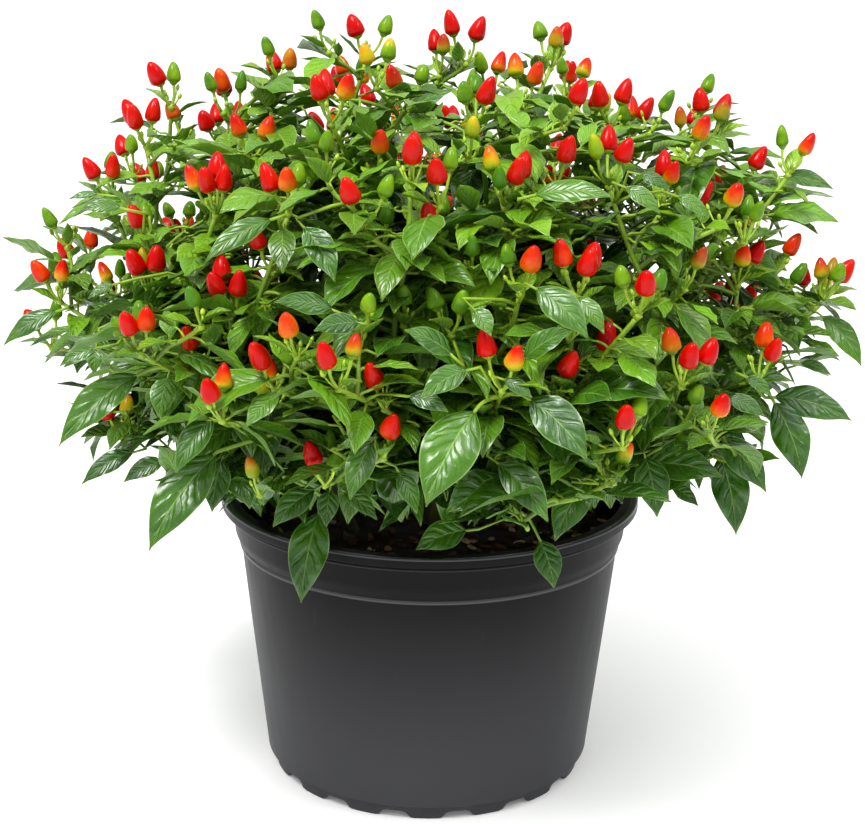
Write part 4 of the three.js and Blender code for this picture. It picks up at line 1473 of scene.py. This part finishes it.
# %% [markdown]
# To find its place, a leaf tries a few headings and pitches, and takes the least crowded. A
# leaf that is too crowded every way is left out, as a real one would have been shed.

# %% Growing a leaf
leaf_count = {"large": 0, "middle": 0, "small": 0, "left out": 0}


def grow_leaf(stem, leaf, tries, most=9.0):
    """Adds the least crowded of a few ways for a leaf to lie, unless all are too crowded."""
    best, best_cost = None, 1e9
    for i in range(tries):
        turn = (i % 2 * 2 - 1) * math.ceil(i / 2) * 0.38
        tried = turned_leaf(leaf, turn, 0.25 * (i % 3 - 1) if i else 0.0)
        rings, values = blade(tried)
        cost = crowding(rings) + 0.012 * i
        if cost < best_cost:
            best, best_cost = (tried, rings, values), cost
        if cost < 0.06:
            break
    if best_cost > most:
        leaf_count["left out"] += 1
        return
    tried, rings, values = best
    leaves[stem].add(rings, **values)
    wood[stem].add(petiole(tried), fresh=tried["fresh"])
    mark(rings, 1)
    leaf_count[leaf_size(tried["length"])] += 1


print("leaves so far:", leaf_count)

# %% [markdown]
# The large leaves that the photograph shows come first, each by two pixels: where its blade
# starts and its tip. One picture doesn't say how a leaf is tilted, so the tip lies a little
# nearer to the eye where the crown faces it, and the blade rolls about its midrib until most of
# its face is seen. Three have a long stalk in sight, and the pixel where it starts comes first.
# The number after a colon is the width of a blade that is slimmer or broader than most.

# %% Large leaves of the near side
LARGE_LEAVES = """57,311,4,345:0.7 138,375,59,446:0.68 134,452,82,484:0.7
299,425,216,455,149,551:0.8 214,416,176,473:0.8 222,458,212,512:1.0 475,411,426,507:1.0
304,227,335,282 452,355,404,330:0.95 468,370,421,398:0.9 535,288,588,338:0.9 503,379,532,398:0.85
529,399,587,460 498,463,548,522:0.88 506,484,447,512:1.3 589,478,555,541 315,489,273,527:0.95
344,491,377,520 330,489,326,527 319,512,301,603:0.85 522,512,467,530,416,550:1.1
527,517,540,540,554,588:1.1 398,470,417,514:0.82 272,219,205,262:0.6 534,195,614,197:0.65
774,397,852,421 774,402,802,479:0.9 822,316,861,366:0.8 719,437,766,492:0.9 720,455,736,535:0.9
643,464,723,477:0.95 645,456,657,517:1.1 783,176,833,189:0.75 372,440,350,500:0.88 96,348,60,366:0.8
96,348,94,374:1.2 165,461,124,482:0.9 168,376,159,418:1.15 361,323,314,331:0.95 523,360,574,330:0.85
800,363,831,375:0.75 688,426,661,457:0.85 672,487,698,506 620,480,621,504:0.9 625,187,660,214:0.8
334,310,274,302 577,296,604,334:0.8 474,309,491,336:1.2 408,396,448,412:0.85 726,397,765,417:0.85
746,377,772,397:0.8 716,423,745,440:0.9 677,196,709,218:0.8 639,174,670,191:0.8 99,194,69,199:0.6
122,208,82,210:0.8 114,284,88,299:0.8"""
SEEN_DROOP, SEEN_ROLL, MOST_ROLL = 0.6, 0.8, 0.9
LONG_STALK_NEARER = 13


def seen_leaf(word, i):
    spots, _, wide = word.partition(":")
    spots = [int(v) for v in spots.split(",")]
    start_x, start_y, tip_x, tip_y = spots[-4:]
    long_stalk = len(spots) == 6
    depth = crown_depth(start_x, start_y, 0.93) - (LONG_STALK_NEARER if long_stalk else 0)
    start = seen_point(start_x, start_y, depth)
    spread = math.hypot(tip_x - start_x, tip_y - start_y) * depth / FOCAL_PIXELS
    facing = min(max(-start[1] / CROWN_REACH, 0), 1)
    chord = seen_point(tip_x, tip_y, depth - 0.35 * spread * facing) - start
    reach = np.linalg.norm(chord)
    heading, pitch = math.atan2(chord[1], chord[0]), math.asin(chord[2] / reach) + SEEN_DROOP / 2
    length = reach * (SEEN_DROOP / 2) / math.sin(SEEN_DROOP / 2)
    across = place(1, heading + math.pi / 2, 0)
    over = unit(np.cross(chord, across))
    roll = SEEN_ROLL * math.atan2(-across @ (EYE - start), over @ (EYE - start))
    roll = min(max(roll, -MOST_ROLL), MOST_ROLL)
    bearing = math.atan2(start[1], start[0])
    stem = stem_at(start) or min(stems[:6], key=lambda stem: abs(wrap(bearing - stem["bearing"])))
    root, _ = nearest_wood(stem["name"], start, 6, -30)
    more = {"knee": seen_point(*spots[:2], depth + 4)} if long_stalk else {}
    if wide:
        more["wide"] = float(wide)
    # Large seen leaves keep a low tone: partly older leaves, partly painted shade.
    leaf = new_leaf(root, heading, pitch, length, 0, i, 90, droop=SEEN_DROOP, bend=0.0, at=start,
                    tone=0.3 * chance(i, 93), fold=between(0.1, 0.3, i, 94), roll=roll,
                    twist=0.2 * (chance(i, 91) - 0.5), **more)
    return stem["name"], leaf


for i, word in enumerate(LARGE_LEAVES.split()):
    stem_name, leaf = seen_leaf(word, i)
    grow_leaf(stem_name, leaf, 1)
    keep_in_sight(blade(leaf)[0])
    keep_in_sight(petiole(leaf)[-4:])
print("large leaves by pixel:", sum(leaf_count.values()))

# %% [markdown]
# A real twig carries its leaves in a spiral below the fruit, the youngest nearest to it. Each
# head gets such a whorl, and two larger leaves lower on its limb. Leaves that would point into
# the crown, where there is little light, stay short.

# %% Leaves of the heads
WHORL = 7
LOWER_LEAVES = ((0.5, 43), (0.75, 34))
for head in heads:
    stem, key, path = head["stem"]["name"], head["key"], head["limb"]
    outward = math.atan2(head["point"][1], head["point"][0])
    run = np.concatenate([[0], np.cumsum(np.linalg.norm(np.diff(path[::-1], axis=0), axis=1))])
    first = outward + between(-0.6, 0.6, key, 100)
    for j in range(WHORL):
        keys = (key, 101 + j)
        below = min(1.5 + 5.5 * j, 0.8 * run[-1])
        start = np.array([np.interp(below, run, path[::-1, k]) for k in range(3)])
        heading = first + GOLDEN_TURN * j + between(-0.3, 0.3, *keys, 1)
        inward = 0.5 - 0.5 * math.cos(heading - outward)
        length = between(14, 23, *keys, 2) + 2.6 * j + 9 * (not head["letters"])
        pitch = 0.7 - 0.14 * j + between(-0.35, 0.35, *keys, 3) + 0.35 * inward
        stalk = between(3, 6, *keys, 4) + 0.8 * j
        leaf = new_leaf(start, heading, pitch, length * (1 - 0.3 * inward), stalk, *keys,
                        young=max(0.0, 1.0 - 0.15 * j) * between(0.3, 1.0, *keys, 5))
        grow_leaf(stem, leaf, 6, most=0.62)
    side = -1 if chance(key, 4) < 0.5 else 1
    for j, (at, length) in enumerate(LOWER_LEAVES):
        keys = (key, 130 + j)
        start = path[int(at * 11)]
        heading = outward - side * (1 - 2 * j) * between(0.3, 1.2, *keys, 1)
        pitch = between(-0.15, 0.4, *keys, 3)
        leaf = new_leaf(start, heading, pitch, length * between(0.85, 1.2, *keys, 2), 10, *keys)
        grow_leaf(stem, leaf, 7, most=0.7)
print("leaves with those of the heads:", leaf_count)

# %% [markdown]
# A real crown can't be seen through, because leafy side shoots without fruit fill it. A dark
# ball in the middle would do from far away, but it would show between the leaves. So shoots are
# spread evenly too, somewhat deeper than the heads. A third group sits near the middle, where
# its plain leaves are painted dark, partly as older leaves and partly as painted shade, to be the
# dark behind the others, and a fourth closes the top.

# %% Leafy side shoots
SHOOT_GROUPS = [
    {"count": 260, "rise": (-0.62, 0.88), "scale": (0.6, 0.88), "inner": False},
    {"count": 90, "rise": (0.0, 0.95), "scale": (0.55, 0.8), "inner": False},
    {"count": 180, "rise": (-0.62, 0.98), "scale": (0.25, 0.72), "inner": True},
    {"count": 44, "rise": (0.55, 0.99), "scale": (0.78, 0.95), "inner": False},
]
SHOOT_LEAVES, LONGEST_SHOOT = 6, 120
grown_shoots = 0
shoots = [(group, k) for group in SHOOT_GROUPS for k in range(group["count"])]
for i, (group, k) in enumerate(shoots):
    inner = group["inner"]
    rise = np.interp((k + 0.5) / group["count"], (0, 1), group["rise"])
    scale = between(*group["scale"], i, 141)
    tip = spiral_point(rise, i * GOLDEN_TURN + 0.7 + chance(i, 140), scale)
    stem = stem_at(tip)
    if not stem or tip[2] < (185 if inner else 165):
        continue
    name = stem["name"]
    start, span = nearest_wood(name, tip, 12, 6)
    if span > LONGEST_SHOOT:
        continue
    grown_shoots += 1
    outward = math.atan2(tip[1], tip[0])
    path = smooth_path([start, start + 0.5 * (tip - start) + [0, 0, 0.06 * span], tip], 8)
    fresh = np.linspace(0.55, 0.8, 8)[:, None]
    wood[name].add(tube(path, np.linspace(1.25, 0.8, 8), 6), fresh=fresh)
    for j in range(SHOOT_LEAVES):
        keys = (i, 150 + j)
        start = path[-1 - j] if j else tip
        heading = outward + GOLDEN_TURN * j + between(-0.4, 0.4, *keys, 1)
        inward = 0.5 - 0.5 * math.cos(heading - outward)
        length = (54 if inner else between(21, 36, *keys, 2)) * (1 - 0.25 * inward)
        pitch = 0.55 - (0.3 if inner else 0.16) * j + between(-0.3, 0.3, *keys, 3)
        # Inner leaves get a low tone: partly older leaves, partly painted shade.
        leaf = new_leaf(start, heading, pitch, length, between(5, 10, *keys, 4), *keys,
                        young=0.4 * chance(*keys, 5) * (not inner), inner=inner,
                        tone=(0.3 if inner else 0.8) * chance(*keys, 6))
        grow_leaf(name, leaf, 6, most=0.68 if inner else 0.6)
print("shoots:", grown_shoots, "and all leaves:", leaf_count)

# %% [markdown]
# Now each stem's heaps become objects: its wood, its leaves and its fruit. Together they stand
# for the CAD model's node of that stem, and one object for the whole plant would be too heavy.
# The real blade's two faces meet at a thin margin. Smooth shading would blur them into one, so
# the edges that lie on the margin are marked sharp.

# %% Make the pieces
def sharpen_margins(mesh):
    across = np.empty(len(mesh.vertices), np.float32)
    mesh.attributes["across"].data.foreach_get("value", across)
    ends = np.empty(2 * len(mesh.edges), np.int32)
    mesh.edges.foreach_get("vertices", ends)
    margin = np.abs(across[ends.reshape(-1, 2)]) > 0.999
    sharp = mesh.attributes.new("sharp_edge", "BOOLEAN", "EDGE")
    sharp.data.foreach_set("value", margin.all(axis=1))


faces = 0
for stem in stems:
    name = stem["name"]
    short = name.replace("stem_", "")
    pieces = [wood[name].make(f"{short}_branches", wood_look, "foliage", name),
              leaves[name].make(f"{short}_leaves", leaf_look, "foliage", name)]
    if fruit[name].points:
        pieces.append(fruit[name].make(f"{short}_fruit", fruit_look, "fruit", name))
    sharpen_margins(pieces[1].data)
    for piece in pieces:
        faces += len(piece.data.polygons)
        print(piece.name, len(piece.data.polygons))
print("plant triangles:", faces)

# %% [markdown]
# ## Floor and light
# The photograph has an even white ground with hardly a shadow. A white floor alone would still
# darken beside the pot, so this one also glows faintly.

# %% Floor
FLOOR_REACH = 30.0
floor_shader = Shader("white_floor")
floor_shader.set(Base_Color=(0.96, 0.96, 0.96), Roughness=0.9, Specular_IOR_Level=0.1,
                 Emission_Color=(1.0, 1.0, 1.0), Emission_Strength=0.1)
corners = [(x * FLOOR_REACH, y * FLOOR_REACH, 0) for x, y in ((-1, -1), (1, -1), (1, 1), (-1, 1))]
floor_mesh = bpy.data.meshes.new("floor")
floor_mesh.from_pydata(corners, [], [(0, 1, 2, 3)])
floor_mesh.materials.append(floor_shader.material)
floor = bpy.data.objects.new("floor", floor_mesh)
bpy.context.scene.collection.objects.link(floor)
floor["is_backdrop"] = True
print("floor reaches", FLOOR_REACH, "m each way")

# %% [markdown]
# The real plant stands in soft light from all round. A white world gives that, and two far soft
# suns round the forms. Waxy leaves also need something to mirror, so a soft square light high
# in front on the left gives them and the rim their white gleams, and a small one on the right
# answers it.

# %% Light
SUN_WIDTH = math.radians(46)
world = bpy.data.worlds.new("studio")
bpy.context.scene.world = world
world.use_nodes = True
world.node_tree.nodes["Background"].inputs["Color"].default_value = (1, 1, 1, 1)
world.node_tree.nodes["Background"].inputs["Strength"].default_value = 0.7


def soft_light(name, spot, aim, power, width=None):
    """A square soft light of a width, or a far soft sun, that shines from a spot to an aim."""
    data = bpy.data.lights.new(name, "AREA" if width else "SUN")
    data.energy = power
    if width:
        data.size = width
    else:
        data.angle = SUN_WIDTH
    light = bpy.data.objects.new(name, data)
    light.location = spot
    light.rotation_mode = "QUATERNION"
    light.rotation_quaternion = (Vector(aim) - Vector(spot)).to_track_quat("-Z", "Y")
    bpy.context.scene.collection.objects.link(light)


soft_light("key", (-0.7, -1.1, 2.5), (0, 0, 0.28), 1.0)
soft_light("top", (0.9, -0.2, 2.4), (0, 0, 0.3), 1.05)
soft_light("gleam", (-0.65, -1.0, 2.15), (0, 0, 0.3), 50, 0.8)
soft_light("fill", (1.1, -0.9, 1.6), (0, 0, 0.3), 5, 0.3)
print("lights:", [light.name for light in bpy.data.lights])

# %% [markdown]
# ## The size
# The finer pieces must keep to the CAD model's size, or the part would not fit where its record
# says. That could be judged by eye, but two boxes are surer, so both are printed.

# %% Size
low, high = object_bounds()
sizes = {"cad": [list(cad_low), list(cad_high)], "visual": [list(low), list(high)]}
print("visual box, mm:", [round(v * 1000) for v in (*low, *high)])
